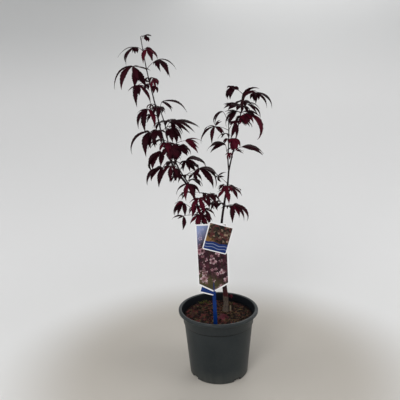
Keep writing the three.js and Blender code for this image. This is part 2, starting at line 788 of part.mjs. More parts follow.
function makeSprays(limbSpaces) {
  const counts = {};
  const sprays = [];
  const solids = [];
  spraySizes.forEach((size) => {
    const solid = makeSpray(size, limbSpaces, solids);
    counts[size.limb] = (counts[size.limb] ?? 0) + 1;
    const name = `${size.limb}_spray_${counts[size.limb]}`;
    solids.push(solid);
    sprays.push(mesh(name, solid, colours.leaf, 0.55));
  });
  return sprays;
}

function makeStub() {
  const stub = new THREE.CylinderGeometry(stubRadius * stubTaper, stubRadius, stubHeight, stubSides);
  stub.rotateX(Math.PI / 2);
  stub.translate(...stubPlace, groundHeight + seat + stubHeight / 2);
  return mesh('cut_sprout', asSolid(stub), colours.rootstock, 0.8);
}

// Flat plate with rounded corners, standing in the XZ plane, its back face at y
function plate(outline, y) {
  const geometry = new THREE.ExtrudeGeometry(outline, {
    depth: labelThickness,
    bevelEnabled: false,
    curveSegments: 3,
  });
  return geometry.rotateX(Math.PI / 2).translate(0, y, 0);
}

function roundedOutline(corners, radius) {
  const shape = new THREE.Shape();
  corners.forEach((corner, i) => {
    const before = corners[(i + corners.length - 1) % corners.length];
    const after = corners[(i + 1) % corners.length];
    const enter = corner.clone().lerp(before, radius / corner.distanceTo(before));
    const leave = corner.clone().lerp(after, radius / corner.distanceTo(after));
    if (i === 0) shape.moveTo(enter.x, enter.y);
    else shape.lineTo(enter.x, enter.y);
    shape.quadraticCurveTo(corner.x, corner.y, leave.x, leave.y);
  });
  shape.closePath();
  return shape;
}

function turnedRectangle([width, height], [x, z], angle, corner) {
  const middle = new THREE.Vector2(x, z);
  const corners = [[-1, -1], [1, -1], [1, 1], [-1, 1]].map(([across, up]) => {
    const point = new THREE.Vector2((across * width) / 2 + x, (up * height) / 2 + z);
    return point.rotateAround(middle, angle * turn);
  });
  return roundedOutline(corners, corner);
}

// The holder: a flat back with its foot pointed, and a clip's bridge and tongue in front of it
function makeHolder(backFace, tongueFace) {
  const outline = new THREE.Shape();
  outline.moveTo(holderPointInset - holderFootWidth / 2, -holderSunk);
  outline.lineTo(holderFootWidth / 2 - holderPointInset, -holderSunk);
  outline.lineTo(holderFootWidth / 2, holderPointHeight - holderSunk);
  outline.lineTo(holderTopWidth / 2, holderTop);
  outline.lineTo(-holderTopWidth / 2, holderTop);
  outline.lineTo(-holderFootWidth / 2, holderPointHeight - holderSunk);
  outline.closePath();
  const back = new THREE.ExtrudeGeometry(outline, { depth: holderThickness, bevelEnabled: false });
  back.rotateX(Math.PI / 2).translate(0, backFace + holderThickness, 0);
  const bridgeDepth = backFace + clipSunk - tongueFace;
  const bridge = new THREE.BoxGeometry(tongueWidth, bridgeDepth, clipBridge);
  bridge.translate(0, tongueFace + bridgeDepth / 2, clipHeight);
  const tongueFoot = clipHeight - clipBridge / 2;
  const tongue = new THREE.CylinderGeometry(tongueTipShare, 1, tongueTop - tongueFoot, 4, 1);
  tongue.rotateY(Math.PI / 4).rotateX(Math.PI / 2);
  tongue.scale(tongueWidth / Math.SQRT2, tongueThickness / Math.SQRT2, 1);
  tongue.translate(0, tongueFace + tongueThickness / 2, (tongueTop + tongueFoot) / 2);
  return joined([asSolid(back), asSolid(bridge), asSolid(tongue)]);
}

function makeLabels() {
  const cardFront = -seat - 2 * labelThickness;
  const layers = {
    tongue: cardFront - 2 * seat - tongueThickness,
    tag: cardFront - seat,
    card: cardFront + labelThickness,
    slip: cardFront + seat + 2 * labelThickness,
    back: cardFront + 2 * seat + 2 * labelThickness,
  };
  const half = cardWidth / 2;
  const cardCorners = [
    [0, cardTip], [half, cardShoulder], [half, cardTop], [-half, cardTop], [-half, cardShoulder],
  ].map(([x, z]) => new THREE.Vector2(x, z));
  const card = asSolid(plate(roundedOutline(cardCorners, cardCorner), layers.card));
  const tag = asSolid(plate(turnedRectangle(tagSize, tagCentre, tagTurn, tagCorner), layers.tag));
  const slip = asSolid(plate(turnedRectangle(slipSize, slipCentre, slipTurn, slipCorner), layers.slip));
  const labels = new THREE.Group();
  labels.add(mesh('label_holder', makeHolder(layers.back, layers.tongue), colours.holder, 0.4));
  labels.add(mesh('label_card', card, colours.paper, 0.35));
  labels.add(mesh('square_tag', tag, colours.paper, 0.35));
  labels.add(mesh('rear_slip', slip, colours.paper, 0.35));
  labels.position.set(...labelFoot);
  labels.rotation.y = -labelLean * turn;
  return labels;
}

const group = new THREE.Group();
group.add(makePot(), makeMix(), makeStub());
const { limbs, spaces } = makeLimbs();
for (const [name, solid] of Object.entries(limbs)) {
  group.add(mesh(name, solid, name === 'trunk' ? colours.rootstock : colours.bark, 0.75));
}
group.add(...makeSprays(spaces));
group.add(makeLabels());

export default group;
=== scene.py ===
import bpy
import bmesh
from math import cos, hypot, pi, sin, sqrt, tan
from mathutils import Matrix, Vector, noise


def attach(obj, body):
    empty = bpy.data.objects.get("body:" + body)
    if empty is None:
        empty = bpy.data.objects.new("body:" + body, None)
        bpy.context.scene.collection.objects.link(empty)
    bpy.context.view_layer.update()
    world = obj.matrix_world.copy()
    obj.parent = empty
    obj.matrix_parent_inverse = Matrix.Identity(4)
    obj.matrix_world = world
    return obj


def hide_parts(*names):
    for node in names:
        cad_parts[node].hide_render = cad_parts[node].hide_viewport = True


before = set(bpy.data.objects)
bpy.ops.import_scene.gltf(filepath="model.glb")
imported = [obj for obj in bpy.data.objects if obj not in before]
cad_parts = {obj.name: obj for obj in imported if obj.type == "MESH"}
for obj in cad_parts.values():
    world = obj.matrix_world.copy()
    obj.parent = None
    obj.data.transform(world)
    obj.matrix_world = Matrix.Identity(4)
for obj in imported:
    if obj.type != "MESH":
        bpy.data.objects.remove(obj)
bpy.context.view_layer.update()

mm = 0.001
deg = pi / 180


def drawFrom(seed):
    # seeded random numbers from 0 to 1
    state = int(seed) % 4294967296

    def draw():
        nonlocal state
        state = (state * 1664525 + 1013904223) % 4294967296
        return state / 4294967296

    return draw


def swing(draw, reach):
    # a random number within reach of nought, either way
    return (draw() - 0.5) * 2 * reach


def drawnLength(draw, span, power=1):
    shortest, longest = span
    return shortest + (longest - shortest) * draw() ** power


def between(stops, at):
    # straight-line reading of (place, value) pairs
    for (left, low), (right, high) in zip(stops, stops[1:]):
        if at <= right:
            return low + (high - low) * (at - left) / (right - left)
    return stops[-1][1]


def levelWay(angle):
    # one step along the ground, for an angle in radians
    return Vector((cos(angle), sin(angle), 0))


def plug(socket, value):
    # links another node's output, or sets a fixed value
    if isinstance(value, bpy.types.NodeSocket):
        socket.id_data.links.new(value, socket)
    else:
        socket.default_value = (*value, 1) if socket.type == "RGBA" else value


def addNode(kind, inputs, tree=None, **settings):
    # in the tree of the sockets that feed it, or in the one given
    fed = [value for value in inputs.values() if isinstance(value, bpy.types.NodeSocket)]
    node = (tree or fed[0].id_data).nodes.new(kind)
    for key, value in settings.items():
        setattr(node, key, value)
    for socket, value in inputs.items():
        plug(node.inputs[socket], value)
    return node


def newMaterial(name, rough, specular, colour=None):
    # the material, its shader and the object place that its patterns are laid on
    material = bpy.data.materials.new(name)
    material.use_nodes = True
    tree = material.node_tree
    shader = tree.nodes["Principled BSDF"]
    plug(shader.inputs["Roughness"], rough)
    plug(shader.inputs["Specular IOR Level"], specular)
    if colour:
        plug(shader.inputs["Base Color"], colour)
    return material, shader, addNode("ShaderNodeTexCoord", {}, tree).outputs["Object"]


def colourRamp(fac, stops):
    ramp = addNode("ShaderNodeValToRGB", {"Fac": fac})
    while len(ramp.color_ramp.elements) < len(stops):
        ramp.color_ramp.elements.new(0.5)
    for element, (place, colour) in zip(ramp.color_ramp.elements, stops):
        element.position = place
        element.color = (*colour, 1)
    return ramp.outputs["Color"]


def noiseAt(place, scale, detail=4, roughness=0.6, distortion=0.0):
    return addNode("ShaderNodeTexNoise", {
        "Vector": place, "Scale": scale, "Detail": detail, "Roughness": roughness,
        "Distortion": distortion}).outputs["Fac"]


def mixColours(fac, first, second):
    return addNode("ShaderNodeMix", {0: fac, 6: first, 7: second}, data_type="RGBA").outputs[2]


def maths(operation, *values):
    return addNode("ShaderNodeMath", dict(enumerate(values)), operation=operation).outputs[0]


def times(first, second, *plus):
    # a product, and one more value added to it if given
    return maths("MULTIPLY_ADD" if plus else "MULTIPLY", first, second, *plus)


def minus(first, second):
    return maths("SUBTRACT", first, second)


def offNought(value):
    return maths("ABSOLUTE", value)


def rampUp(value, low, high, top=1.0):
    # nought up to the low end, top from the high end on
    return addNode("ShaderNodeMapRange", {
        "Value": value, "From Min": low, "From Max": high, "To Max": top}).outputs["Result"]


def splitPlace(place):
    return addNode("ShaderNodeSeparateXYZ", {"Vector": place}).outputs


def stretched(place, scale):
    return addNode("ShaderNodeMapping", {"Vector": place, "Scale": scale}).outputs["Vector"]


def lengthOf(place):
    return addNode("ShaderNodeVectorMath", {0: place}, operation="LENGTH").outputs["Value"]


def paint(shader, colour):
    plug(shader.inputs["Base Color"], colour)


def bumpFrom(shader, height, strength, distance):
    bump = addNode("ShaderNodeBump", {"Height": height, "Strength": strength, "Distance": distance})
    plug(shader.inputs["Normal"], bump.outputs["Normal"])


def addObject(name, data):
    made = bpy.data.objects.new(name, data)
    bpy.context.scene.collection.objects.link(made)
    return made


def meshFrom(bm, name):
    mesh = bpy.data.meshes.new(name)
    bm.to_mesh(mesh)
    bm.free()
    return mesh


def finishPiece(bm, name, materials, stands=(), smooth=True):
    # a bmesh becomes a piece of the one body, in the place of the nodes that it stands for
    mesh = meshFrom(bm, name)
    mesh.polygons.foreach_set("use_smooth", [smooth] * len(mesh.polygons))
    piece = addObject(name, mesh)
    for material in materials:
        mesh.materials.append(material)
    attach(piece, "root")
    if stands:
        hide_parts(*stands)
    return piece


def applied(piece):
    # the piece's modifiers become its mesh
    depsgraph = bpy.context.evaluated_depsgraph_get()
    made = bpy.data.meshes.new_from_object(piece.evaluated_get(depsgraph), depsgraph=depsgraph)
    piece.modifiers.clear()
    old = piece.data
    piece.data = made
    bpy.data.meshes.remove(old)


def spunShell(profile, segments, unit=mm):
    # a profile turned once round the upright axis
    bm = bmesh.new()
    corners = [bm.verts.new((radius * unit, 0, height * unit)) for radius, height in profile]
    edges = [bm.edges.new(pair) for pair in zip(corners, corners[1:])]
    bmesh.ops.spin(bm, geom=corners + edges, cent=(0, 0, 0), axis=(0, 0, 1),
                   angle=2 * pi, steps=segments, use_merge=True)
    bmesh.ops.remove_doubles(bm, verts=bm.verts, dist=1e-6)
    bmesh.ops.recalc_face_normals(bm, faces=bm.faces)
    return bm


def facesOf(verts):
    return {face for vert in verts for face in vert.link_faces}


def addTube(bm, pointAt, radiusAt, sides, steps, relief=None, material=0):
    # a grid rolled round a path: pointAt gives millimetres, and both ends are closed
    shares = [min(1, max(0, (i - 1) / (steps - 2))) for i in range(steps + 1)]
    centres = [pointAt(share) for share in shares]
    tangent = (centres[2] - centres[1]).normalized()
    across = tangent.orthogonal().normalized()
    frames = []
    for i, centre in enumerate(centres):
        ahead, behind = centres[min(steps, i + 1)], centres[max(0, i - 1)]
        if (ahead - behind).length > 1e-9:
            tangent = (ahead - behind).normalized()
        across = (across - tangent * across.dot(tangent)).normalized()
        frames.append((centre, across, tangent.cross(across)))
    verts = bmesh.ops.create_grid(bm, x_segments=steps, y_segments=sides, size=1)["verts"]
    for vert in verts:
        i = round((vert.co.x + 1) / 2 * steps)
        around = (vert.co.y + 1) * pi
        centre, across, up = frames[i]
        out = across * cos(around) + up * sin(around)
        radius = 0 if i in (0, steps) else radiusAt(shares[i])
        if relief and radius:
            radius += relief(shares[i], centre + out * radius, radius)
        vert.co = (centre + out * radius) * mm
    for face in facesOf(verts):
        face.material_index = material
    bmesh.ops.remove_doubles(bm, verts=verts, dist=1e-6)


# Camera, floor and light; floor and lamps in metres
view = {"place": (-39.6, -1149, 696), "tiltDown": 12.57, "roll": 1.18, "lens": 45, "sensor": 36}
studio = {
    "flatRadius": 0.7, "dishRadius": 4.5, "dishRise": 0.34, "dishRings": 36, "dishSegments": 96,
    # how far from the pot, as a share of toneReach, and how pale; past the palest ring the tones darken far
    # out as painted shade
    "toneReach": 3.0,
    "tones": [(0.1, (0.53, 0.498, 0.45)), (0.21, (0.85, 0.85, 0.845)), (0.34, (0.86, 0.86, 0.86)),
              (0.7, (0.79, 0.79, 0.79)), (0.93, (0.66, 0.665, 0.665))],
    "airColour": (1.0, 1.0, 1.0),
    "airStrength": 0.3,
    "lamps": [
        # name, place, aim, size across, watts
        ("keyLamp", (-0.9, -2.2, 2.1), (0, 0, 0.4), 1.1, 34),
        ("rightPanel", (1.9, -0.5, 1.5), (0, 0, 0.3), 1.3, 14),
        ("leftPanel", (-1.9, -0.3, 1.5), (0, 0, 0.3), 1.3, 8),
        ("rearLamp", (0.6, 2.2, 2.0), (0, 0, 0.4), 1.6, 14),
    ],
}


def makeCamera():
    data = bpy.data.cameras.new("camera")
    data.lens = view["lens"]
    data.sensor_width = view["sensor"]
    data.clip_start = 0.02
    data.clip_end = 60
    camera = addObject("camera", data)
    turned = Matrix.Rotation((90 - view["tiltDown"]) * deg, 4, "X")
    rolled = Matrix.Rotation(-view["roll"] * deg, 4, "Z")
    camera.matrix_world = Matrix.Translation(Vector(view["place"]) * mm) @ turned @ rolled
    bpy.context.scene.camera = camera


def makeFloor():
    # a plain pale floor, flat round the pot and rising gently far from it on all sides, with painted shade
    # darkening it far out
    span = studio["dishRadius"] - studio["flatRadius"]
    profile = [(0, 0)]
    for i in range(studio["dishRings"] + 1):
        past = span * i / studio["dishRings"]
        profile.append((studio["flatRadius"] + past, studio["dishRise"] * past ** 2))
    bm = spunShell(profile, studio["dishSegments"], 1)
    for face in bm.faces:
        face.smooth = True
        if face.normal.z < 0:
            face.normal_flip()
    floor = addObject("floor", meshFrom(bm, "floor"))
    floor.location.z = -0.0005
    material, shader, place = newMaterial("paleFloor", 0.8, 0.2)
    # the floor's tone by distance from the pot, darker far out as painted shade
    tone = colourRamp(maths("DIVIDE", lengthOf(place), studio["toneReach"]), studio["tones"])
    tone.node.color_ramp.interpolation = "EASE"
    paint(shader, tone)
    floor.data.materials.append(material)


def makeStudio():
    makeFloor()
    bpy.context.scene.view_settings.view_transform = "Standard"
    world = bpy.data.worlds.new("studioAir")
    world.use_nodes = True
    air = world.node_tree.nodes["Background"]
    plug(air.inputs["Color"], studio["airColour"])
    plug(air.inputs["Strength"], studio["airStrength"])
    bpy.context.scene.world = world
    for name, place, aim, size, watts in studio["lamps"]:
        light = bpy.data.lights.new(name, "AREA")
        light.size = size
        light.energy = watts
        lamp = addObject(name, light)
        lamp.location = place
        lamp.rotation_mode = "QUATERNION"
        lamp.rotation_quaternion = (Vector(aim) - Vector(place)).to_track_quat("-Z", "Y")


makeCamera()
makeStudio()
print("camera, floor and light made")


# Pot: its outline goes up the outside and down the inside
pot = {
    "profile": [
        (0, 0), (70, 0), (71.2, 0.5), (72, 2), (72.3, 5), (84.3, 133), (84.7, 133.4), (85.9, 133.9),
        (86.3, 134.6), (88.5, 158.2), (88.9, 158.9), (95.6, 159), (96.9, 159.5), (97.7, 160.4),
        (98, 161.6), (98, 164.4), (97.7, 165.6), (96.9, 166.5), (95.6, 167), (92.2, 167),
        (91.0, 166.6), (90.2, 165.8), (88.4, 162.0), (86.6, 158.6), (84.3, 136), (82.4, 133.2),
        (82.2, 131), (70.3, 3), (0, 3),
    ],
    "segments": 144, "sharpEdge": 38,
    "drainAngles": (-146, -54, 34, 124), "drainSize": (26, 20, 14), "drainRadius": 72,
    "paintedShadeInside": (100, 164.5),  # from and to which height the inward faces are painted near-black as shade
    # height of the painted shade line under the collar
    "collarShadeLine": 132.7,
}


def potPlastic():
    # dark grey-green satin plastic, dusty near the floor and a little on the rim, with a painted shade line
    # under the collar
    material, shader, place = newMaterial("potPlastic", 0.42, 0.22)
    fine = noiseAt(place, 160, 4, 0.7)
    base = colourRamp(noiseAt(place, 14, 3, 0.55), [
        (0.35, (0.016, 0.021, 0.023)), (0.7, (0.024, 0.029, 0.031))])
    height = splitPlace(place)["Z"]
    streaks = noiseAt(stretched(place, (90, 90, 7)), 1.0, 3, 0.6)
    worn = times(maths("ADD", rampUp(height, 0.035, 0.0, 0.5), rampUp(height, 0.158, 0.167, 0.05)), streaks)
    dusty = times(colourRamp(fine, [(0.5, (0, 0, 0)), (0.8, (1, 1, 1))]), 0.08, worn)
    colour = mixColours(dusty, base, (0.13, 0.125, 0.11))
    # painted shade: a near-black line just under the collar, where the collar's shadow falls on the body
    line = rampUp(offNought(minus(height, pot["collarShadeLine"] * mm)), 0.0022, 0.0012, 0.9)
    paint(shader, mixColours(line, colour, (0.002, 0.002, 0.003)))
    plug(shader.inputs["Roughness"], times(dusty, 0.35, 0.4))
    bumpFrom(shader, fine, 0.12, 0.0004)
    return material


def makePot():
    # a near-black painted shade for the inward faces, where the pot's inside lies in shade
    inside = newMaterial("potInsidePaintedShade", 0.7, 0.04, (0.006, 0.007, 0.009))[0]
    shell = spunShell(pot["profile"], pot["segments"])
    piece = finishPiece(shell, "pot_shell", [potPlastic(), inside], ["pot"])
    cutters = bmesh.new()
    for angle in pot["drainAngles"]:
        placed = Matrix.Rotation(angle * deg, 4, "Z") @ Matrix.Translation((pot["drainRadius"] * mm, 0, 0))
        sized = Matrix.Diagonal((*[side * mm for side in pot["drainSize"]], 1))
        bmesh.ops.create_cube(cutters, size=1, matrix=placed @ sized)
    cutter = addObject("drain_cutters", meshFrom(cutters, "drain_cutters"))
    notches = piece.modifiers.new("notches", "BOOLEAN")
    notches.object = cutter
    notches.solver = "MANIFOLD"
    applied(piece)
    bpy.data.objects.remove(cutter)
    low, high = pot["paintedShadeInside"]
    # inward faces high in the pot take the painted shade material
    for face in piece.data.polygons:
        inward = face.normal.x * face.center.x + face.normal.y * face.center.y < 0
        face.material_index = 1 if inward and low * mm < face.center.z < high * mm else 0
    piece.data.set_sharp_from_angle(angle=pot["sharpEdge"] * deg)


makePot()
print("pot made")


# Potting mix: a rough bed, with bits of bark and fibre lying in it
mix = {
    "bedLevel": 149.0, "bedRadius": 84.4, "bedRings": 46, "bedSegments": 150, "bedRoughness": 1.5,
    "trunkPlace": (19, 16), "trunkKeep": 9,
    "chips": 2600, "chipLength": (2.5, 11), "chipSlope": 26,
    # share of the chips drawn up to each kind, and how much it grows to the right
    "black": (0.48, 0.2), "olive": (0.52, 0.26), "red": 0.8,
    "fibres": 420, "fibreLength": (9, 30),
    "seed": 5,
}


def bedHeight(x, y):
    place = Vector((x, y, 0))
    rough = noise.noise(place * 0.11) + 0.55 * noise.noise(place * 0.31 + Vector((7, 0, 0)))
    return mix["bedLevel"] + mix["bedRoughness"] * rough


def grittyMaterial(name, dark, light, scale=260):
    material, shader, place = newMaterial(name, 0.85, 0.1)
    paint(shader, colourRamp(noiseAt(place, scale, 5, 0.7), [(0.3, dark), (0.72, light)]))
    bumpFrom(shader, noiseAt(place, scale * 2.2, 4, 0.7), 0.6, 0.0008)
    return material


mixLook = [
    grittyMaterial("mixBed", (0.006, 0.003, 0.003), (0.022, 0.010, 0.008)),
    grittyMaterial("barkRed", (0.038, 0.009, 0.009), (0.130, 0.037, 0.033)),
    grittyMaterial("barkBrown", (0.026, 0.012, 0.010), (0.070, 0.031, 0.024)),
    grittyMaterial("barkBlack", (0.006, 0.004, 0.004), (0.020, 0.012, 0.010)),
    grittyMaterial("barkOlive", (0.030, 0.022, 0.010), (0.085, 0.060, 0.030)),
    grittyMaterial("fibreGold", (0.110, 0.068, 0.028), (0.240, 0.155, 0.075)),
]


def makeMixBed():
    wall = lambda height: (72 + 12.3 * height / 133 - 2.5, height)  # on the pot's inside
    rim = mix["bedRadius"]
    rings = [(rim * (1 - i / mix["bedRings"]), mix["bedLevel"]) for i in range(mix["bedRings"] + 1)]
    bm = spunShell([(0, 3.4), wall(3.4), wall(131)] + rings, mix["bedSegments"])
    for vert in bm.verts:
        if vert.co.z > (mix["bedLevel"] - 1) * mm:
            vert.co.z = bedHeight(vert.co.x / mm, vert.co.y / mm) * mm
    bmesh.ops.recalc_face_normals(bm, faces=bm.faces)
    finishPiece(bm, "mix_bed", mixLook[:1], ["potting_mix"])


def freePlace(draw, margin):
    # somewhere on the bed, clear of the wall and of the trunk's foot
    while True:
        radius = sqrt(draw()) * (mix["bedRadius"] - margin)
        angle = draw() * 2 * pi
        x, y = radius * cos(angle), radius * sin(angle)
        if hypot(x - mix["trunkPlace"][0], y - mix["trunkPlace"][1]) > mix["trunkKeep"]:
            return x, y


def chipKind(pick, x, y):
    # the chip's place in mixLook
    if pick < mix["black"][0] + mix["black"][1] * x / 84:
        return 3
    olive = x / 90 + 0.35 * noise.noise(Vector((x, y, 40)) * 0.04)
    if pick < mix["olive"][0] + mix["olive"][1] * max(0, olive):
        return 4
    return 1 if pick < mix["red"] else 2


def makeChips():
    draw = drawFrom(mix["seed"])
    bm = bmesh.new()
    slope = mix["chipSlope"] * deg
    for _ in range(mix["chips"]):
        length = drawnLength(draw, mix["chipLength"], 2.4)
        x, y = freePlace(draw, 3 + length / 2)
        width, depth = length * (0.3 + 0.35 * draw()), min(2.6, length * (0.16 + 0.2 * draw()))
        turned = (Matrix.Rotation(draw() * 2 * pi, 4, "Z") @ Matrix.Rotation(swing(draw, slope), 4, "Y")
                  @ Matrix.Rotation(swing(draw, slope), 4, "X"))
        level = bedHeight(x, y) + depth * (draw() - 0.25) * 0.9
        sized = Matrix.Diagonal((length * mm, width * mm, depth * mm, 1))
        verts = bmesh.ops.create_cube(bm, size=1, matrix=sized)["verts"]
        taper = 0.35 + 0.5 * draw()
        for vert in verts:
            if vert.co.x > 0:
                vert.co.y *= taper
                vert.co.z *= taper
            vert.co.x += (draw() - 0.5) * 0.3 * length * mm
            vert.co.y += (draw() - 0.5) * 0.25 * width * mm
        placed = Matrix.Translation(Vector((x, y, level)) * mm) @ turned
        bmesh.ops.transform(bm, matrix=placed, verts=verts)
        kind = chipKind(draw(), x, y)
        for face in facesOf(verts):
            face.material_index = kind
    bmesh.ops.recalc_face_normals(bm, faces=bm.faces)
    finishPiece(bm, "mix_chips", mixLook, smooth=False)


def makeFibres():
    draw = drawFrom(mix["seed"] + 40)
    bm = bmesh.new()
    for _ in range(mix["fibres"]):
        length = drawnLength(draw, mix["fibreLength"], 1.6)
        x, y = freePlace(draw, 5 + length / 2)
        heading, bow = draw() * 2 * pi, (draw() - 0.5) * 1.4
        lift, radius = 0.9 + 1.8 * draw(), 0.22 + 0.26 * draw()
        if draw() > 0.45 + 0.5 * x / 84:  # more of them to the right
            continue

        def pointAt(share):
            along = (share - 0.5) * length
            angle = heading + bow * (share - 0.5)
            px, py = x + along * cos(angle), y + along * sin(angle)
            return Vector((px, py, bedHeight(px, py) + lift * (1 - (2 * share - 1) ** 2) + 0.4))

        addTube(bm, pointAt, lambda share: radius * (1 - 0.7 * abs(2 * share - 1)), 3, 8, material=5)
    finishPiece(bm, "mix_fibres", mixLook)


makeMixBed()
makeChips()
makeFibres()
print("potting mix made")


# Woody limbs: stations of the axis, radius at foot and tip, sides round the bark
limbs = {
    "trunk": {
        "stations": [(19, 16, 150), (20, 16, 171), (19, 16, 195), (15.5, 16, 228), (11, 16, 279)],
        "radius": (6.3, 5), "sides": 40,
    },
    "right_stem": {
        "stations": [(11, 16, 279.4), (10, 18, 335), (12, 20, 380), (20, 22, 434), (27, 23, 472),
                     (30, 24, 504)],
        "radius": (3.7, 2), "sides": 24,
    },
    "left_leader": {
        "stations": [(10, 16, 274), (-10, 14, 329), (-29, 12, 373), (-60, 7, 460), (-101, 1, 524),
                     (-123, -5, 594), (-136, -9, 664), (-151, -12, 738), (-158, -14, 785),
                     (-161, -15, 808)],
        "radius": (3.5, 0.8), "sides": 24,
    },
    "left_second": {
        "stations": [(-45, 10, 422), (-59, 20, 462), (-88, 30, 510), (-110, 32, 565),
                     (-117, 28, 612), (-129, 19, 657)],
        "radius": (1.8, 1.1), "sides": 16,
    },
    "right_left": {
        "stations": [(30, 24, 504.4), (28, 18, 531), (29, 12, 560), (30, 8, 592), (29, 4, 628)],
        "radius": (1.7, 0.9), "sides": 16,
    },
    "right_right": {
        "stations": [(30, 24, 503), (35, 30, 524), (46, 37, 568), (57, 42, 622), (62, 43, 645),
                     (66, 44, 681)],
        "radius": (1.9, 0.9), "sides": 16,
    },
}
bark = {
    "ringStep": 2.4, "rootstockRough": 0.055, "youngRough": 0.035,
    "flareHeight": 14, "flareSpread": 2.6, "footCut": 150.2,
    "graftHeight": 40, "graftSwell": 0.9, "graftReach": 12,
    "nodeSwell": 0.45, "nodeReach": 3.2,
    "samples": 480,
}


def curvePoint(stations, at):
    # centripetal Catmull-Rom curve through the stations, for at from 0 to 1
    points = [Vector(p) for p in stations]
    last = len(points) - 1
    span = min(int(at * last), last - 1)
    weight = at * last - span
    p1, p2 = points[span], points[span + 1]
    p0 = points[span - 1] if span > 0 else p1 * 2 - p2
    p3 = points[span + 2] if span + 2 <= last else p2 * 2 - p1
    gaps = [(b - a).length ** 0.5 for a, b in ((p0, p1), (p1, p2), (p2, p3))]
    leave = ((p1 - p0) / gaps[0] - (p2 - p0) / (gaps[0] + gaps[1]) + (p2 - p1) / gaps[1]) * gaps[1]
    enter = ((p2 - p1) / gaps[1] - (p3 - p1) / (gaps[1] + gaps[2]) + (p3 - p2) / gaps[2]) * gaps[1]
    square, cube = weight ** 2, weight ** 3
    return (p1 + leave * weight + (p2 * 3 - p1 * 3 - leave * 2 - enter) * square
            + (p1 * 2 - p2 * 2 + leave + enter) * cube)


def measuredPath(stations):
    points = [curvePoint(stations, i / bark["samples"]) for i in range(bark["samples"] + 1)]
    lengths = [0.0]
    for a, b in zip(points, points[1:]):
        lengths.append(lengths[-1] + (b - a).length)
    return points, lengths


def pathPoint(path, share):
    points, lengths = path
    wanted = share * lengths[-1]
    low, high = 0, len(lengths) - 1
    while high - low > 1:
        middle = (low + high) // 2
        if lengths[middle] <= wanted:
            low = middle
        else:
            high = middle
    gap = lengths[high] - lengths[low]
    return points[low].lerp(points[high], (wanted - lengths[low]) / gap)


def limbRadius(name, share, length):
    foot, tip = limbs[name]["radius"]
    radius = foot + (tip - foot) * share
    if name == "trunk":
        along = share * length
        radius += bark["flareSpread"] * max(0, 1 - along / bark["flareHeight"]) ** 2
        radius += bark["graftSwell"] * max(0, 1 - abs(along - bark["graftHeight"]) / bark["graftReach"])
    return radius


paths = {name: measuredPath(limb["stations"]) for name, limb in limbs.items()}


def limbPlace(name, height):
    # where a limb's axis is at a height, its radius there, and how far along it
    low, high = 0.0, 1.0
    for _ in range(24):
        middle = (low + high) / 2
        if pathPoint(paths[name], middle).z < height:
            low = middle
        else:
            high = middle
    length = paths[name][1][-1]
    return pathPoint(paths[name], low), limbRadius(name, low, length), low * length


# Slots of the leaf materials; each is followed by its under side. Red is partly the new leaves' own colour
# and partly painted light, brighter where a leaf catches the lamp
deep, wine, red = 0, 2, 4


def leaf(toward, reach, rise, blade, width=1, **more):
    # which way and how far from the limb a leaf's base is, how much higher, and its length and width;
    # more: where it faces, its pitch and arch, its lobes' turns, shares of the length, and tint.
    # Angles are in degrees, and 270 is the front
    return dict(toward=toward, reach=reach, rise=rise, blade=blade, width=width, **more)


def lobe(*sizes, **more):
    # one or more lobes that share the stalk of a leaf
    return leaf(*sizes, bare=True, **more)


# Sprays of each limb: the height on it, and the leaves
sprayRows = {}
sprayRows["trunk"] = {
    190: [leaf(-15, 12, 3, 12, tint=red)],
}
sprayRows["right_stem"] = {
    416: [leaf(335, 24, 8, 62, 0.85, face=330, arch=104, turns=(-72, 2, 18, 70), shares=(0.8, 0.8, 1, 0.4),
               tint=wine),
          leaf(50, 21, -3, 38)],
    424: [leaf(160, 16, 4, 36, 1.3, tint=wine)],
    466: [leaf(250, 20, -4, 38, 1.2, face=262, turns=(-85, -30, 32), shares=(0.5, 0.8, 1), tint=red),
          leaf(320, 15, -2, 34, face=335, arch=70, tint=wine)],
    474: [leaf(155, 26, 14, 26, face=15, pitch=-45, arch=55, turns=(-100, -50, 0, 120),
               shares=(0.8, 0.8, 1, 0.8))],
}
sprayRows["right_left"] = {
    548: [leaf(185, 6, 20, 50, 0.9, face=182, pitch=-32, arch=100, turns=(-12, 10, 30),
               shares=(0.8, 1, 0.9))],
    576: [leaf(300, 17, 8, 38, 1.4, face=285, turns=(-60, -10, 40), shares=(0.5, 1, 0.8), tint=red)],
    588: [leaf(120, 15, 4, 26)],
    600: [leaf(194, 33, 11, 56, 0.65, face=200, turns=(-60, 0, 45, 112), tint=(wine, deep, wine, wine)),
          leaf(318, 18, 23, 44, 0.75, face=280, pitch=50, arch=50, turns=(-6, 12))],
    622: [leaf(190, 12, 22, 42, 0.6, face=180, arch=105, turns=(-25, 0, 25))],
}
sprayRows["right_right"] = {
    547: [leaf(345, 20, 12, 62, 0.85, face=0, pitch=-18, arch=62, turns=(-22, 0, 14), shares=(1, 1, 0.7),
               tint=(wine, deep, wine)),
          leaf(83, 17, 8, 32)],
    616: [leaf(70, 21, 4, 42, 1.3)],
    636: [leaf(195, 10, 6, 52, face=200, arch=100, turns=(-45, -2, 35), shares=(0.5, 1, 0.8)),
          leaf(310, 12, 0, 90, 1.1, face=345, arch=135, turns=(-60, -30, 0, 30),
               shares=(0.35, 0.42, 1, 0.5), tint=(wine, red, red, deep))],
    652: [leaf(190, 7, 5, 40, 1.3, pitch=-14, arch=40, turns=(-50, -24, 0, 25)),
          leaf(340, 14, 5, 46, 0.7, face=350, arch=78, turns=(-45, -5, 50), shares=(0.75, 1, 0.5))],
    660: [leaf(80, 18, 5, 44, 1.2)],
    668: [leaf(272, 14, -16, 68, 1.15, face=335, pitch=-110, arch=118, turns=(-14, 12), tint=wine)],
    679: [leaf(197, 23, 17, 36, 1.3, arch=112, turns=(-100, -50, -12, 14, 60),
               shares=(0.5, 0.5, 1, 0.95, 0.5)),
          leaf(4, 29, 4, 60, 0.75, face=355, pitch=-6, arch=96, turns=(-80, -38, 0, 45),
               shares=(0.6, 0.8, 1, 0.5))],
}
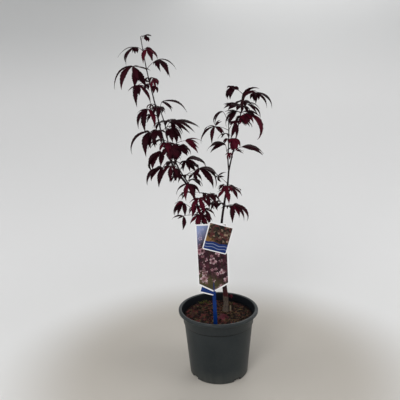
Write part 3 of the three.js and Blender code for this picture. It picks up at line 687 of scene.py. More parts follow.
sprayRows["left_leader"] = {
    398: [leaf(199, 43, 37, 42, face=215, turns=(-30, 0, 20, 65)),
          leaf(205, 46, 6, 36, face=182, pitch=-22, arch=84, turns=(0, 45, 100), shares=(0.95, 0.5, 1),
               tint=wine),
          leaf(260, 22, 8, 40, 1.2, tint=red)],
    412: [leaf(100, 24, 4, 40, 0.8, tint=wine),
          leaf(300, 24, 8, 42, 0.85, tint=wine)],
    431: [leaf(286, 25, 17, 46, 0.9, tint=red),
          leaf(328, 30, 22, 42, 0.85, tint=wine)],
    446: [leaf(122, 27, 6, 42, tint=wine)],
    455: [leaf(20, 27, -4, 40, 0.8)],
    474: [leaf(275, 26, 9, 50, 0.85, face=265, turns=(-68, -20, 25, 72), tint=(deep, red, wine, deep))],
    488: [leaf(170, 20, 8, 22)],
    502: [leaf(255, 20, 13, 30, 1.5, arch=125)],
    523: [leaf(203, 26, -3, 68, 0.9, face=205, arch=110, turns=(-60, -8, 57), shares=(0.5, 1, 0.74)),
          leaf(262, 24, 2, 42, 0.9, tint=wine)],
    552: [leaf(215, 15, 3, 64, 1.1, face=195, arch=122, turns=(-55, -8, 10, 75), shares=(0.5, 1, 0.9, 0.6),
               tint=(deep, wine, deep, deep)),
          leaf(290, 21, 16, 36, 1.5, face=258, pitch=35, arch=60, tint=wine)],
    574: [leaf(124, 22, 6, 44)],
    600: [leaf(190, 27, 2, 72, 0.85, face=185, arch=92, turns=(-60, 0, 68, 108),
               shares=(0.5, 1, 0.97, 0.65)),
          leaf(255, 24, 7, 38, 1.3)],
    636: [leaf(150, 20, 4, 38, 0.8)],
    662: [leaf(218, 20, -8, 59, 0.8, face=250, arch=100, turns=(-75, -35, 0, 60),
               shares=(0.45, 1, 1.02, 0.87), tint=(deep, deep, deep, red)),
          leaf(288, 19, -4, 28)],
    712: [leaf(217, 30, -6, 58, 0.7, face=290, arch=95, turns=(-72, -30, 24, 60),
               shares=(0.5, 0.95, 1, 0.5), tint=(deep, deep, wine, deep)),
          leaf(312, 11, 2, 24, arch=125, tint=red)],
    718: [leaf(62, 13, 3, 26, arch=115, tint=red)],
    738: [leaf(351, 24, 21, 56, 0.75, face=340, pitch=-14, arch=100, turns=(-78, -36, 10, 45),
               shares=(0.75, 1, 0.97, 0.5)),
          leaf(172, 30, 9, 71, 0.8, face=180, arch=86, turns=(-130, -2, 52, 100),
               shares=(0.3, 1, 1.02, 0.76), tint=(deep, deep, wine, wine))],
    778: [leaf(200, 17, 8, 50, 0.75, face=180, arch=95, turns=(-50, 0, 45, 100), shares=(0.5, 1, 1, 0.4)),
          leaf(303, 17, 3, 38, face=300, arch=90, turns=(-55, -10, 35, 80), shares=(1, 0.9, 0.85, 0.5),
               tint=(red, wine, red, wine))],
    803: [leaf(347, 7, 7, 17, 1.3, pitch=-12, arch=30, turns=(-55, 0, 30))],
}
sprayRows["left_second"] = {
    476: [leaf(60, 24, 4, 42, 0.9),
          leaf(130, 20, 16, 38, 0.75)],
    492: [leaf(319, 50, 25, 65, 1.1, face=341, arch=90, turns=(-85, -28, 10), shares=(0.5, 0.95, 1.05))],
    508: [leaf(350, 18, 25, 60, 0.85, face=5, pitch=-22, arch=92, turns=(-60, -8, 24),
               shares=(0.55, 1, 0.6)),
          leaf(38, 27, 12, 46, 1.15)],
    520: [leaf(120, 23, 4, 46, 1.0)],
    545: [leaf(315, 26, 22, 34, 1.5, face=270, pitch=30, arch=60)],
    562: [leaf(342, 40, 16, 44, 0.85, face=2, pitch=-28, arch=78, turns=(-56, 0, 40),
               shares=(1.15, 0.95, 0.4), tint=red),
          leaf(70, 24, 4, 44, 0.9)],
    608: [leaf(345, 14, 14, 72, 0.6, pitch=-12, arch=50, turns=(-40, -18, 0, 14)),
          leaf(300, 26, 0, 44, 1.3, face=318, turns=(-80, -45, -12, 15, 60))],
    616: [leaf(90, 20, 6, 44)],
    653: [leaf(15, 5, 15, 67, 0.65, face=3, pitch=-14, arch=88, turns=(-58, -2), shares=(0.55, 1)),
          leaf(120, 18, 4, 28)],
}


def rootstockBark():
    # grey-brown bark below the graft, plum-dark wood with a red flush above it
    material, shader, place = newMaterial("trunkBark", 0.8, 0.15)
    grain = noiseAt(stretched(place, (3.2, 3.2, 1)), 120, 5, 0.7)
    grey = colourRamp(grain, [(0.3, (0.058, 0.040, 0.030)), (0.7, (0.155, 0.122, 0.098))])
    plum = colourRamp(grain, [(0.3, (0.013, 0.008, 0.009)), (0.7, (0.040, 0.024, 0.025))])
    flush = colourRamp(grain, [(0.3, (0.040, 0.008, 0.010)), (0.7, (0.095, 0.022, 0.026))])
    ragged = times(noiseAt(place, 90, 2), 0.012, splitPlace(place)["Z"])
    above = mixColours(rampUp(ragged, 0.222, 0.204), plum, flush)
    paint(shader, mixColours(rampUp(ragged, 0.194, 0.198), grey, above))
    bumpFrom(shader, grain, 0.5, 0.001)
    return material


def youngBark():
    # smooth dark plum bark with faint pale streaks and lenticels
    material, shader, place = newMaterial("youngBark", 0.6, 0.12)
    grain = noiseAt(stretched(place, (4, 4, 1)), 90, 4, 0.65)
    base = colourRamp(grain, [(0.3, (0.007, 0.003, 0.005)), (0.75, (0.022, 0.010, 0.013))])
    spots = colourRamp(noiseAt(place, 700, 2, 0.5), [(0.68, (0, 0, 0)), (0.74, (1, 1, 1))])
    paint(shader, mixColours(spots, base, (0.07, 0.045, 0.042)))
    bumpFrom(shader, grain, 0.3, 0.0006)
    return material


def makeLimb(name, material):
    path = paths[name]
    length = path[1][-1]
    joints = [limbPlace(name, height)[2] for height in sprayRows[name] if height > 200]
    rootstock = name == "trunk"
    rough = bark["rootstockRough" if rootstock else "youngRough"]

    def relief(share, point, radius):
        along = share * length
        ridges = noise.noise(Vector((point.x * 0.5, point.y * 0.5, point.z * 0.09)))
        fine = noise.noise(point * 0.9)
        swell = sum(max(0, 1 - abs(along - at) / bark["nodeReach"]) for at in joints)
        crack = 0
        if rootstock and along < bark["graftHeight"]:
            crack = -0.35 * max(0, noise.noise(Vector((point.x * 0.8, point.y * 0.8, point.z * 0.16))))
        return radius * (rough * ridges + rough * 0.5 * fine) + bark["nodeSwell"] * min(1, swell) + crack

    bm = bmesh.new()
    addTube(bm, lambda share: pathPoint(path, share), lambda share: limbRadius(name, share, length),
            limbs[name]["sides"], round(length / bark["ringStep"]), relief)
    if rootstock:
        bmesh.ops.bisect_plane(bm, geom=bm.verts[:] + bm.edges[:] + bm.faces[:], dist=1e-7,
                               plane_co=(0, 0, bark["footCut"] * mm), plane_no=(0, 0, -1), clear_outer=True)
        bmesh.ops.holes_fill(bm, edges=[edge for edge in bm.edges if edge.is_boundary])
        bmesh.ops.recalc_face_normals(bm, faces=bm.faces)
    finishPiece(bm, name + "_wood", [material], [name])


stub = {"foot": (31, 12, 150.3), "radius": 2.4, "height": 15}


def makeStub(material):
    # a pale cut sprout
    bm = bmesh.new()
    foot = Vector(stub["foot"])

    def relief(share, point, radius):
        return radius * 0.12 * noise.noise(Vector((point.x, point.y, point.z * 0.2)))

    addTube(bm, lambda share: foot + Vector((0, 0, stub["height"] * share)),
            lambda share: stub["radius"] * (1 - 0.15 * share), 18, 20, relief)
    finishPiece(bm, "cut_sprout_wood", [material], ["cut_sprout"])


trunkLook, youngLook = rootstockBark(), youngBark()
for limbName in limbs:
    makeLimb(limbName, trunkLook if limbName == "trunk" else youngLook)
makeStub(grittyMaterial("paleStub", (0.110, 0.085, 0.055), (0.260, 0.210, 0.140), 300))
print("limbs made")


# Leaves: lobes spread like fingers, arch over and hang
leafForm = {
    "turns": (-98, -50, 0, 50, 98), "shortening": 0.38, "outerHalf": 30, "tipGap": 4,
    "turnJitter": 5, "lengthJitter": 0.07, "curlJitter": 14, "lobeArchJitter": 8,
    "webRing": 0.06, "webTurn": 20,
    "halfWidths": [(0, 0.055), (0.12, 0.065), (0.25, 0.102), (0.42, 0.145), (0.55, 0.142), (0.7, 0.1),
                   (0.84, 0.05), (0.94, 0.018), (1, 0)],
    "steps": 18, "tooth": 0.07, "fold": 0.3, "twist": 0.5, "ripple": 0.012,
    "lean": 18, "pitch": 2, "pitchJitter": 4, "arch": 88, "archJitter": 5,
    "thickness": 0.32,
    "seed": 11, "fineSeed": 900,
}
stalkForm = {
    "spurLength": 7, "spurRise": 3,
    "footRadius": 0.8, "radius": 0.55, "bow": 5, "sunk": 1, "steps": 12,
}


def leafSkin(name, dark, light, vein, rough=0.5):
    # matt blade, its midrib and side veins read from each lobe's own map
    material, shader, place = newMaterial(name, rough, 0.04)
    split = splitPlace(addNode("ShaderNodeUVMap", {}, shader.id_data, uv_map="lobe").outputs["UV"])
    off = offNought(minus(split["Y"], 0.5))
    wave = maths("PINGPONG", times(times(off, -0.35, split["X"]), 14), 0.5)
    veins = maths("MAXIMUM", rampUp(off, 0.07, 0.0), times(rampUp(wave, 0.44, 0.5), 0.35))
    cloudy = colourRamp(noiseAt(place, 55, 3, 0.6), [(0.3, dark), (0.72, light)])
    paint(shader, mixColours(times(veins, 0.6), cloudy, vein))
    bumpFrom(shader, veins, 0.5, 0.0005)
    return material


leafLooks = [
    leafSkin("leafDeep", (0.009, 0.0012, 0.0028), (0.019, 0.0018, 0.0048), (0.034, 0.004, 0.008)),
    leafSkin("leafDeepUnder", (0.012, 0.0024, 0.004), (0.021, 0.0034, 0.006), (0.036, 0.006, 0.009), 0.65),
    leafSkin("leafWine", (0.015, 0.0018, 0.004), (0.030, 0.003, 0.007), (0.052, 0.006, 0.011)),
    leafSkin("leafWineUnder", (0.016, 0.004, 0.006), (0.030, 0.006, 0.009), (0.048, 0.010, 0.014), 0.65),
    # leafRed: the red of new leaves, and partly painted light where a leaf catches the lamp
    leafSkin("leafRed", (0.036, 0.002, 0.007), (0.068, 0.004, 0.012), (0.100, 0.010, 0.018)),
    leafSkin("leafRedUnder", (0.032, 0.005, 0.010), (0.054, 0.008, 0.014), (0.075, 0.014, 0.020), 0.65),
]

# Finer leaves and lobes of the same sprays, inside the same reach
fineRows = {}
fineRows["right_stem"] = {
    416: [lobe(335, 24, 8, 40, 1.1, face=300, arch=95, turns=(-40, 10), tint=red),
          leaf(120, 12, 6, 26, tint=wine)],
    466: [leaf(265, 12, 4, 26, 1.3, tint=red),
          leaf(170, 9, 4, 20, 1.2, tint=wine),
          leaf(30, 9, 2, 20, tint=deep)],
}
fineRows["right_left"] = {
    548: [lobe(185, 5, 18, 34, 1.2, face=186, pitch=-24, arch=80, turns=(0,), tint=wine),
          leaf(290, 6, 0, 18, 1.0, pitch=20, tint=red)],
    576: [lobe(300, 17, 8, 34, 1.4, face=275, pitch=25, turns=(-6, 14), tint=red),
          leaf(240, 6, 6, 18, tint=wine)],
    600: [lobe(318, 18, 23, 20, 1.6, face=280, pitch=30, arch=80, turns=(-60, 0, 60)),
          lobe(194, 32, 12, 19, 1.2, face=15, pitch=-62, arch=50, turns=(-20, 15), tint=wine),
          lobe(194, 33, 11, 28, 1.2, face=325, pitch=15, arch=40, turns=(-12, 6), tint=wine)],
}
fineRows["right_right"] = {
    547: [lobe(345, 20, 12, 58, 1.7, face=355, pitch=-12, arch=54, turns=(-16, -2, 9),
               shares=(0.85, 1, 0.95), tint=wine),
          leaf(10, 9, 3, 20, 1.0, pitch=-12, arch=50, turns=(-40, 0, 30), tint=red)],
    636: [leaf(195, 5, 4, 34, 0.9, face=184, pitch=-22, arch=50, turns=(-14, 6)),
          leaf(320, 5, 5, 42, 0.9, face=352, pitch=-8, arch=52, turns=(-12, 8)),
          leaf(270, 8, -4, 26, 1.2, arch=95),
          leaf(310, 12, 0, 30, 1.3, face=280, pitch=20, arch=80, turns=(-30, 0, 30), tint=red)],
    652: [leaf(190, 5, 6, 36, 1.7, face=182, pitch=-6, arch=22, turns=(0,)),
          leaf(230, 6, 4, 24, 1.3, pitch=-10, arch=60),
          leaf(300, 6, 2, 24, 1.1, arch=80),
          leaf(340, 8, 6, 44, 0.8, face=4, pitch=-20, arch=92, turns=(0,))],
    668: [lobe(272, 14, -16, 58, 1.6, face=335, pitch=-108, arch=105, turns=(-3,), tint=wine)],
    679: [lobe(197, 24, 19, 20, 1.9, face=110, pitch=-35, arch=170),
          lobe(200, 27, 18, 17, 1.9, face=200, pitch=-60, arch=150),
          lobe(190, 21, 18, 17, 1.8, face=20, pitch=-30, arch=150),
          lobe(197, 24, 17, 34, 1.3, face=215, arch=110, turns=(-8, 25)),
          lobe(4, 28, 5, 24, 1.6, face=270, pitch=5, arch=110, turns=(-50, 0, 50)),
          lobe(4, 29, 4, 50, 1.0, face=357, pitch=-10, arch=80, turns=(-4,))],
}
fineRows["left_leader"] = {
    398: [lobe(199, 43, 37, 26, 1.2, face=180, pitch=-20, arch=80, turns=(-30, 20), tint=red),
          leaf(300, 16, 6, 30, 0.8, tint=wine)],
    412: [leaf(250, 18, 14, 32, 0.9, tint=red),
          leaf(20, 30, 14, 28, 0.75, tint=wine)],
    431: [leaf(345, 36, 22, 32, 0.95, tint=wine),
          leaf(0, 22, 12, 26, 0.75, tint=red)],
    474: [lobe(275, 26, 9, 30, 0.9, face=300, turns=(-10, 30), tint=deep)],
    502: [lobe(255, 20, 13, 24, 1.6, face=80, pitch=-30, arch=160)],
    523: [lobe(203, 26, -3, 50, 1.3, face=212, arch=100, turns=(-5,), tint=wine)],
    552: [lobe(215, 15, 3, 62, 1.3, face=202, arch=124, turns=(-12, 10), tint=wine),
          leaf(330, 16, 8, 28, 0.8, tint=wine)],
    574: [leaf(280, 14, 4, 30, 1.0, tint=red),
          leaf(340, 12, 2, 26, tint=wine)],
    600: [lobe(190, 27, 2, 44, 1.1, face=240, pitch=20, arch=60, turns=(-8, 20)),
          leaf(20, 14, 8, 24, 0.7)],
    662: [leaf(200, 9, 2, 20, 0.9, tint=wine)],
    712: [lobe(217, 30, -6, 26, 1.6, face=230, pitch=20, arch=90, turns=(-40, 0, 40), tint=wine),
          leaf(217, 24, 4, 26, 1.3, face=10, pitch=8, arch=25, turns=(0,), tint=deep),
          leaf(350, 13, 4, 18, 1.7, face=60, arch=150, tint=red),
          leaf(330, 10, -8, 22, 1.4, arch=120, tint=wine),
          leaf(240, 8, -4, 18, 1.3, arch=130, tint=deep)],
    718: [leaf(30, 14, 2, 20, 1.6, face=330, arch=140, tint=red),
          leaf(120, 8, 4, 16, 1.6, arch=140, tint=wine)],
    738: [lobe(351, 24, 20, 17, 1.2, face=255, pitch=10, arch=90, turns=(-40, 0, 35)),
          lobe(351, 24, 21, 48, 1.1, face=316, arch=84, turns=(-4,)),
          lobe(172, 29, 8, 54, 1.1, face=300, pitch=50, arch=32, turns=(-6, 5), shares=(0.95, 1),
               tint=wine),
          lobe(172, 27, 8, 34, 0.8, face=4, pitch=8, arch=20, turns=(0,), tint=wine),
          lobe(172, 30, 9, 58, 1.1, face=190, pitch=0, arch=86, turns=(0,))],
    778: [lobe(200, 17, 8, 50, 0.7, face=182, pitch=-10, arch=74, turns=(2,)),
          lobe(200, 16, 9, 18, 1.6, face=250, pitch=20, arch=90, turns=(-40, 0, 40)),
          lobe(303, 16, 3, 34, 1.2, face=340, pitch=5, arch=75, turns=(-30, 5, 40), tint=wine),
          lobe(303, 17, 3, 16, 1.5, face=60, pitch=-30, arch=60, turns=(-50, 0, 50), tint=wine)],
    803: [lobe(347, 8, 5, 16, 1.7, face=330, pitch=10, arch=60, turns=(-40, -5, 30), tint=wine),
          lobe(347, 7, 5, 9, 1.7, face=170, pitch=-30, arch=60, turns=(-30, 30))],
}
fineRows["left_second"] = {
    492: [lobe(319, 50, 25, 68, 1.5, face=352, pitch=-6, arch=88, turns=(2,)),
          leaf(345, 24, 8, 32, 1.1)],
    508: [lobe(350, 18, 25, 60, 1.3, face=0, pitch=-24, arch=92, turns=(-4,)),
          lobe(350, 16, 22, 32, 1.0, face=290, arch=90)],
    545: [leaf(0, 24, 18, 32, 1.0, tint=wine),
          leaf(290, 16, 2, 26, 0.8, tint=wine)],
    562: [lobe(342, 40, 16, 40, 1.0, face=350, pitch=-20, arch=60, turns=(-44, 0), shares=(1.1, 0.9),
               tint=red),
          leaf(300, 20, 4, 30, 0.9, tint=deep)],
    608: [lobe(345, 14, 14, 40, 0.9, face=310, pitch=5, arch=70, turns=(-20, 20)),
          leaf(20, 16, 2, 30, 0.8)],
    616: [leaf(20, 16, 10, 34, 0.9),
          leaf(180, 12, 4, 26)],
    653: [lobe(15, 5, 14, 34, 1.3, face=340, pitch=5, arch=70, turns=(-6,)),
          leaf(300, 6, 4, 18, 1.4, arch=110)],
}


def bentPoint(leaf, arch, x, y, lift):
    # a point of the flat leaf, carried down the arch
    blade = leaf["blade"]
    radius = hypot(x, y)
    if radius < 1e-6:
        return leaf["base"] + leaf["normal"] * lift
    bend = arch * radius / blade
    reach = blade * sin(bend) / arch + lift * sin(bend)
    drop = blade * (1 - cos(bend)) / arch - lift * cos(bend)
    return (leaf["base"] - leaf["normal"] * drop + leaf["forward"] * (reach * x / radius)
            + leaf["side"] * (reach * y / radius))


def addLobe(bm, lobeMap, leaf, lobe, halves, draw, material):
    # one lobe: a grid narrowed to the lobe's outline; halves are the angles to its neighbours
    steps, length = leafForm["steps"], lobe["length"]
    ring = min(leafForm["webRing"] * leaf["blade"], length * 0.12)
    twist = swing(draw, leafForm["twist"])
    fold = leafForm["fold"] * (0.6 + 0.8 * draw())
    phase = draw() * 6.3
    verts = bmesh.ops.create_grid(bm, x_segments=steps, y_segments=4, size=1)["verts"]
    places = {}
    for vert in verts:
        i = round((vert.co.x + 1) / 2 * steps)
        across = vert.co.y
        along = i * ring if i <= 2 else 2 * ring + (length - 2 * ring) * (i - 2) / (steps - 2)
        share = along / length
        half = between(leafForm["halfWidths"], share) * length * leaf["width"]
        if abs(across) > 0.9 and share > 0.2:
            half *= 1 + leafForm["tooth"] * (-1) ** i
        limit = max(halves[0] if across < 0 else halves[1], leafForm["webTurn"] * deg)
        width = min(half, along * tan(limit)) * across
        free = max(0, share - 0.12)
        lift = fold * abs(width) + twist * free * width
        lift += leafForm["ripple"] * length * free * sin(phase + 9 * share)
        angle = lobe["angle"] + lobe["curl"] * share
        x = along * cos(angle) - width * sin(angle)
        y = along * sin(angle) + width * cos(angle)
        places[vert] = (share, (across + 1) / 2)
        vert.co = bentPoint(leaf, lobe["arch"], x, y, lift) * mm
    for face in facesOf(verts):
        face.material_index = material
        for loop in face.loops:
            loop[lobeMap].uv = places[loop.vert]
    return verts


def leafLobes(row, arch, draw):
    # where each lobe points, how it curls aside, and its own length and arch
    turns = row.get("turns", leafForm["turns"])
    shares = row.get("shares", [1 - leafForm["shortening"] * (turn / 100) ** 2 for turn in turns])
    angles = [(turn + swing(draw, leafForm["turnJitter"])) * deg for turn in turns]
    lengths = [row["blade"] * share * (1 + swing(draw, leafForm["lengthJitter"])) for share in shares]
    curls = [swing(draw, leafForm["curlJitter"]) * deg for _ in turns]
    arches = [arch + swing(draw, leafForm["lobeArchJitter"]) * deg for _ in turns]
    lobes = []
    for angle, length, curl, ownArch in zip(angles, lengths, curls, arches):
        if lobes and angle + curl < lobes[-1]["angle"] + lobes[-1]["curl"] + leafForm["tipGap"] * deg:
            curl = lobes[-1]["curl"]
        lobes.append({"angle": angle, "curl": curl, "length": length, "arch": ownArch})
    return lobes


def addLeaf(bm, lobeMap, leaf, lobes, fineDraw, tint):
    # tint: one slot for the leaf, or one for each lobe
    slots = tint if isinstance(tint, tuple) else (tint,) * len(lobes)
    verts = []
    for i, lobe in enumerate(lobes):
        left = right = leafForm["outerHalf"] * deg
        if i > 0:
            left = (lobe["angle"] - lobes[i - 1]["angle"]) / 2
        if i < len(lobes) - 1:
            right = (lobes[i + 1]["angle"] - lobe["angle"]) / 2
        verts += addLobe(bm, lobeMap, leaf, lobe, (left, right), fineDraw, slots[i])
    bmesh.ops.remove_doubles(bm, verts=verts, dist=2e-5)


def bentStalk(start, end, bow):
    middle = start.lerp(end, 0.5) + Vector((0, 0, bow))
    return lambda share: (start * (1 - share) ** 2 + middle * 2 * share * (1 - share) + end * share ** 2)


def growSpray(bm, lobeMap, stalks, limb, height, leaves):
    # one spray of the source's rule: a stalk from the spur on the limb, and a leaf, for each row
    root, radius, _ = limbPlace(limb, height)
    heading = sum((levelWay(row["toward"] * deg) for row in leaves), Vector()).normalized()
    spurEnd = root + heading * (radius + stalkForm["spurLength"])
    spurEnd.z += stalkForm["spurRise"]
    for row in leaves:
        draw = drawFrom(leafForm["seed"] + height * 360 + row["toward"])
        fineDraw = drawFrom(leafForm["fineSeed"] + height * 7 + row["toward"])
        base = root + levelWay(row["toward"] * deg) * row["reach"]
        base.z = root.z + row["rise"]
        face = row.get("face", row["toward"]) * deg
        pitch = (row.get("pitch", leafForm["pitch"]) + swing(draw, leafForm["pitchJitter"])) * deg
        arch = (row.get("arch", leafForm["arch"]) + swing(draw, leafForm["archJitter"])) * deg
        lean = Matrix.Rotation(leafForm["lean"] * deg, 3, "X")
        forward = lean @ (levelWay(face) * cos(pitch) - Vector((0, 0, 1)) * sin(pitch))
        side = lean @ Vector((-sin(face), cos(face), 0))
        leaf = {"base": base, "forward": forward, "side": side, "normal": forward.cross(side),
                "blade": row["blade"], "width": row["width"]}
        addLeaf(bm, lobeMap, leaf, leafLobes(row, arch, draw), fineDraw, row.get("tint", deep))
        if row.get("bare"):
            continue
        thick = min(1, row["blade"] / 30)
        foot, thin = stalkForm["footRadius"], stalkForm["radius"]
        path = bentStalk(root.lerp(spurEnd, 0.3), base + forward * stalkForm["sunk"], stalkForm["bow"])
        addTube(stalks, path, lambda share: thick * (foot + (thin - foot) * min(1, 3 * share)),
                6, stalkForm["steps"])


def thicken(piece):
    # gives the leaves their under sides, in the next slot's material
    thick = piece.modifiers.new("thickness", "SOLIDIFY")
    thick.thickness = leafForm["thickness"] * mm
    thick.offset = -1
    thick.material_offset = 1


def makeFoliage():
    stalkLook, shader, place = newMaterial("leafStalk", 0.55, 0.12)
    paint(shader, colourRamp(noiseAt(place, 120, 2), [
        (0.35, (0.012, 0.003, 0.005)), (0.7, (0.040, 0.007, 0.011))]))
    for limb in limbs:
        rows = sprayRows[limb]
        leaves, stalks = bmesh.new(), bmesh.new()
        lobeMap = leaves.loops.layers.uv.new("lobe")
        for height, grown in [*rows.items(), *fineRows.get(limb, {}).items()]:
            growSpray(leaves, lobeMap, stalks, limb, height, grown)
        nodes = [f"{limb}_spray_{i + 1}" for i in range(len(rows))]
        thicken(finishPiece(leaves, limb + "_leaves", leafLooks, nodes))
        finishPiece(stalks, limb + "_stalks", [stalkLook])
        print("leaves grown on", limb, len(rows), "sprays")


makeFoliage()


# On the mix: one fallen leaf, and a tuft of moss by the back wall
fallen = {
    "place": (3, -19, 153.4), "face": -24, "blade": 30, "arch": 24, "width": 1.25,
    "turns": (-75, -38, -4, 30, 66), "seed": 77,
}
moss = {
    "place": (-36, 68), "spread": 14, "wall": 80, "strands": 66, "length": (5, 13), "radius": 0.4,
    "seed": 31,
}


def makeFallenLeaf():
    bm = bmesh.new()
    lobeMap = bm.loops.layers.uv.new("lobe")
    face = fallen["face"] * deg
    leaf = {"base": Vector(fallen["place"]), "forward": levelWay(face), "normal": Vector((0, 0, 1)),
            "side": Vector((-sin(face), cos(face), 0)),
            "blade": fallen["blade"], "width": fallen["width"]}
    lobes = leafLobes(fallen, fallen["arch"] * deg, drawFrom(fallen["seed"]))
    addLeaf(bm, lobeMap, leaf, lobes, drawFrom(fallen["seed"] + 1), deep)
    skins = [leafSkin("fallenSkin", (0.050, 0.010, 0.015), (0.125, 0.026, 0.038), (0.180, 0.070, 0.075)),
             leafSkin("fallenUnder", (0.040, 0.012, 0.016), (0.085, 0.028, 0.040), (0.120, 0.050, 0.060))]
    thicken(finishPiece(bm, "fallen_leaf", skins))


def makeMoss():
    draw = drawFrom(moss["seed"])
    bm = bmesh.new()
    for _ in range(moss["strands"]):
        angle, away = draw() * 2 * pi, sqrt(draw()) * moss["spread"]
        x, y = moss["place"][0] + away * cos(angle), moss["place"][1] + 0.9 * away * sin(angle)
        inward = min(1, moss["wall"] / hypot(x, y))
        x, y = x * inward, y * inward
        foot = Vector((x, y, bedHeight(x, y) - 0.5))
        length, heading = drawnLength(draw, moss["length"]), draw() * 2 * pi
        tip = foot + Vector((cos(heading) * 0.6, sin(heading) * 0.6 - 0.3, 0.8)) * length * 0.7
        strand = bentStalk(foot, tip, length * 0.3)
        addTube(bm, strand, lambda share: moss["radius"] * (1 - 0.6 * share), 4, 7)
    look = grittyMaterial("mossGreen", (0.050, 0.052, 0.012), (0.160, 0.150, 0.045), 400)
    finishPiece(bm, "moss_tuft", [look])


makeFallenLeaf()
makeMoss()
print("fallen leaf and moss made")


# Label set: places on it in millimetres from its foot, and how far its prints reach
label = {
    "foot": (-8.8, -60, 150), "lean": 1.6,
    "cardHalf": 36.5, "cardTip": 84, "cardTop": 248,
    "tagCentre": (14, 214), "printTurn": -17.5, "tagHalf": (28.5, 33), "waves": (-17, -24),
    "slipCentre": (-6.5, 118), "slipLeft": 17, "slipFoot": 40,
    "white": (0.80, 0.79, 0.80),
}


def labelPlace(place, centre=(0, 0), angle=0):
    # millimetres across and up from a centre on the label, with the print's own turn, and both together
    lean = label["lean"] * deg
    x, z = centre
    at = Vector(label["foot"]) + Vector((
        x * cos(lean) - z * sin(lean), 0, x * sin(lean) + z * cos(lean)))
    split = splitPlace(addNode("ShaderNodeMapping", {
        "Vector": place, "Location": at * mm, "Rotation": (0, -(angle * deg) - lean, 0),
        "Scale": (mm, mm, mm)}, vector_type="TEXTURE").outputs["Vector"])
    flat = addNode("ShaderNodeCombineXYZ", {"X": split["X"], "Y": split["Z"]}).outputs["Vector"]
    return split["X"], split["Z"], flat


def fromSide(value, half):
    # how far inside a side at plus or minus half
    return minus(half, offNought(value))


def whiteEdged(inside, low, high, colour):
    return mixColours(rampUp(inside, low, high), label["white"], colour)


def blossoms(flat, spacing, size):
    # five-petalled blossoms strewn at random: how much petal, and how far from the heart
    cells = addNode("ShaderNodeTexVoronoi", {"Vector": flat, "Scale": 1 / spacing, "Randomness": 0.9},
                    voronoi_dimensions="2D").outputs
    away = addNode("ShaderNodeVectorMath", {0: flat, 1: cells["Position"]}, operation="SUBTRACT").outputs[0]
    split = splitPlace(away)
    tone = addNode("ShaderNodeSeparateColor", {"Color": cells["Color"]}).outputs
    turned = times(tone["Red"], 6.3, maths("ARCTAN2", split["Y"], split["X"]))
    petal = offNought(maths("COSINE", times(turned, 2.5)))
    edge = times(times(petal, 0.45, 0.55), times(tone["Green"], size * 0.5, size * 0.6))
    radius = lengthOf(away)
    return rampUp(minus(edge, radius), -0.2, 0.3), maths("DIVIDE", radius, size)


def plainPlastic(name, colour):
    material, shader, place = newMaterial(name, 0.35, 0.15)
    soft = tuple(channel * 0.8 for channel in colour)
    paint(shader, colourRamp(noiseAt(place, 60, 3), [(0.3, soft), (0.7, colour)]))
    bumpFrom(shader, noiseAt(place, 300, 3), 0.1, 0.0002)
    return material


def cardPrint():
    # blossoms on maroon with twigs between them, a green corner low down and a blue haze high up
    material, shader, place = newMaterial("cardPrint", 0.38, 0.15)
    x, z, flat = labelPlace(place)
    slanted = times(offNought(x), -0.55, minus(z, label["cardTip"]))
    inside = maths("MINIMUM", fromSide(x, label["cardHalf"]), times(slanted, 0.88))
    inside = maths("MINIMUM", inside, minus(label["cardTop"], z))
    ground = colourRamp(noiseAt(flat, 0.09, 4, 0.65, 1.0), [
        (0.36, (0.008, 0.003, 0.005)), (0.52, (0.032, 0.007, 0.013)), (0.7, (0.080, 0.022, 0.030))])
    twigs = addNode("ShaderNodeTexWave", {
        "Vector": flat, "Scale": 0.022, "Distortion": 9, "Detail": 3, "Detail Scale": 0.35}).outputs["Fac"]
    colour = mixColours(rampUp(twigs, 0.9, 0.97), ground, (0.020, 0.012, 0.008))
    low = times(noiseAt(flat, 0.06, 3), 40, times(x, -0.5, minus(138, z)))
    colour = mixColours(times(rampUp(low, 30, 52), 0.6), colour, (0.075, 0.072, 0.024))
    for spacing, size in ((17, 5.5), (24, 9)):
        petals, heart = blossoms(flat, spacing, size)
        pink = colourRamp(heart, [
            (0.0, (0.300, 0.180, 0.060)), (0.1, (0.100, 0.016, 0.034)), (0.5, (0.380, 0.200, 0.230)),
            (1.0, (0.620, 0.500, 0.510))])
        strewn = rampUp(noiseAt(flat, 0.045, 2), 0.44, 0.54)
        colour = mixColours(times(petals, times(strewn, 0.8, 0.04)), colour, pink)
    haze = rampUp(minus(z, x), 222, 266)
    colour = mixColours(times(haze, 0.95), colour, (0.230, 0.290, 0.480))
    paint(shader, whiteEdged(inside, 3.0, 3.3, colour))
    return material


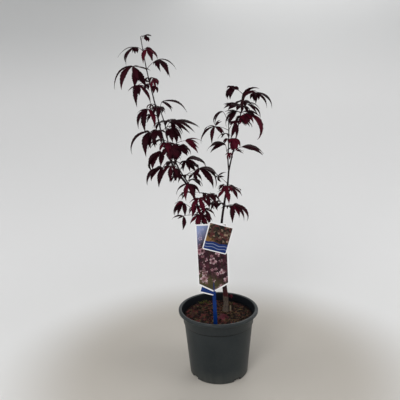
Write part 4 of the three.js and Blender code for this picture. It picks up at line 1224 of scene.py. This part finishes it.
def tagPrint():
    # autumn leaves out of focus over a blue foot with two waves
    material, shader, place = newMaterial("tagPrint", 0.35, 0.15)
    x, z, flat = labelPlace(place, label["tagCentre"], label["printTurn"])
    acrossHalf, upHalf = label["tagHalf"]
    inside = maths("MINIMUM", fromSide(x, acrossHalf), fromSide(z, upHalf))
    shards = addNode("ShaderNodeTexVoronoi", {"Vector": flat, "Scale": 0.21}, voronoi_dimensions="2D")
    hue = addNode("ShaderNodeSeparateColor", {"Color": shards.outputs["Color"]}).outputs
    mottled = colourRamp(hue["Red"], [
        (0.12, (0.006, 0.006, 0.005)), (0.36, (0.028, 0.024, 0.012)), (0.55, (0.100, 0.018, 0.020)),
        (0.72, (0.050, 0.028, 0.020)), (0.95, (0.280, 0.190, 0.130))])
    shade = rampUp(noiseAt(flat, 0.35, 3, 0.7), 0.45, 0.62)
    mottled = mixColours(times(shade, 0.8), mottled, (0.008, 0.007, 0.005))
    cornerward = times(hue["Green"], 20, times(z, -0.8, times(x, -1)))
    colour = mixColours(times(rampUp(cornerward, 24, 50), 0.75), mottled, (0.330, 0.170, 0.040))
    height = maths("ADD", z, times(maths("SINE", times(x, 0.22)), 1.2))
    blue = mixColours(noiseAt(flat, 0.1, 2), (0.004, 0.018, 0.100), (0.009, 0.030, 0.140))
    for level in label["waves"]:
        line = rampUp(offNought(minus(height, level)), 1.0, 0.5)
        blue = mixColours(times(line, 0.6), blue, (0.34, 0.38, 0.52))
    colour = mixColours(rampUp(height, -11.2, -11.8), colour, blue)
    paint(shader, whiteEdged(inside, 2.2, 2.5, colour))
    return material


def slipPrint():
    # deep blue running to teal, white along the left side and the foot
    material, shader, place = newMaterial("slipPrint", 0.35, 0.12)
    x, z, flat = labelPlace(place, label["slipCentre"], label["printTurn"])
    inside = maths("MINIMUM", maths("ADD", x, label["slipLeft"]), maths("ADD", z, label["slipFoot"]))
    deepness = times(noiseAt(flat, 0.05, 2), 16, z)
    blue = mixColours(rampUp(deepness, -36, -8), (0.006, 0.016, 0.130), (0.012, 0.050, 0.150))
    paint(shader, whiteEdged(inside, 2.4, 2.8, blue))
    return material


labelLooks = {
    "label_holder": plainPlastic("holderPlastic", (0.002, 0.026, 0.150)),
    "label_card": cardPrint(),
    "square_tag": tagPrint(),
    "rear_slip": slipPrint(),
}
for node, look in labelLooks.items():
    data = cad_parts[node].data
    data.materials.clear()
    data.materials.append(look)
print("labels finished")
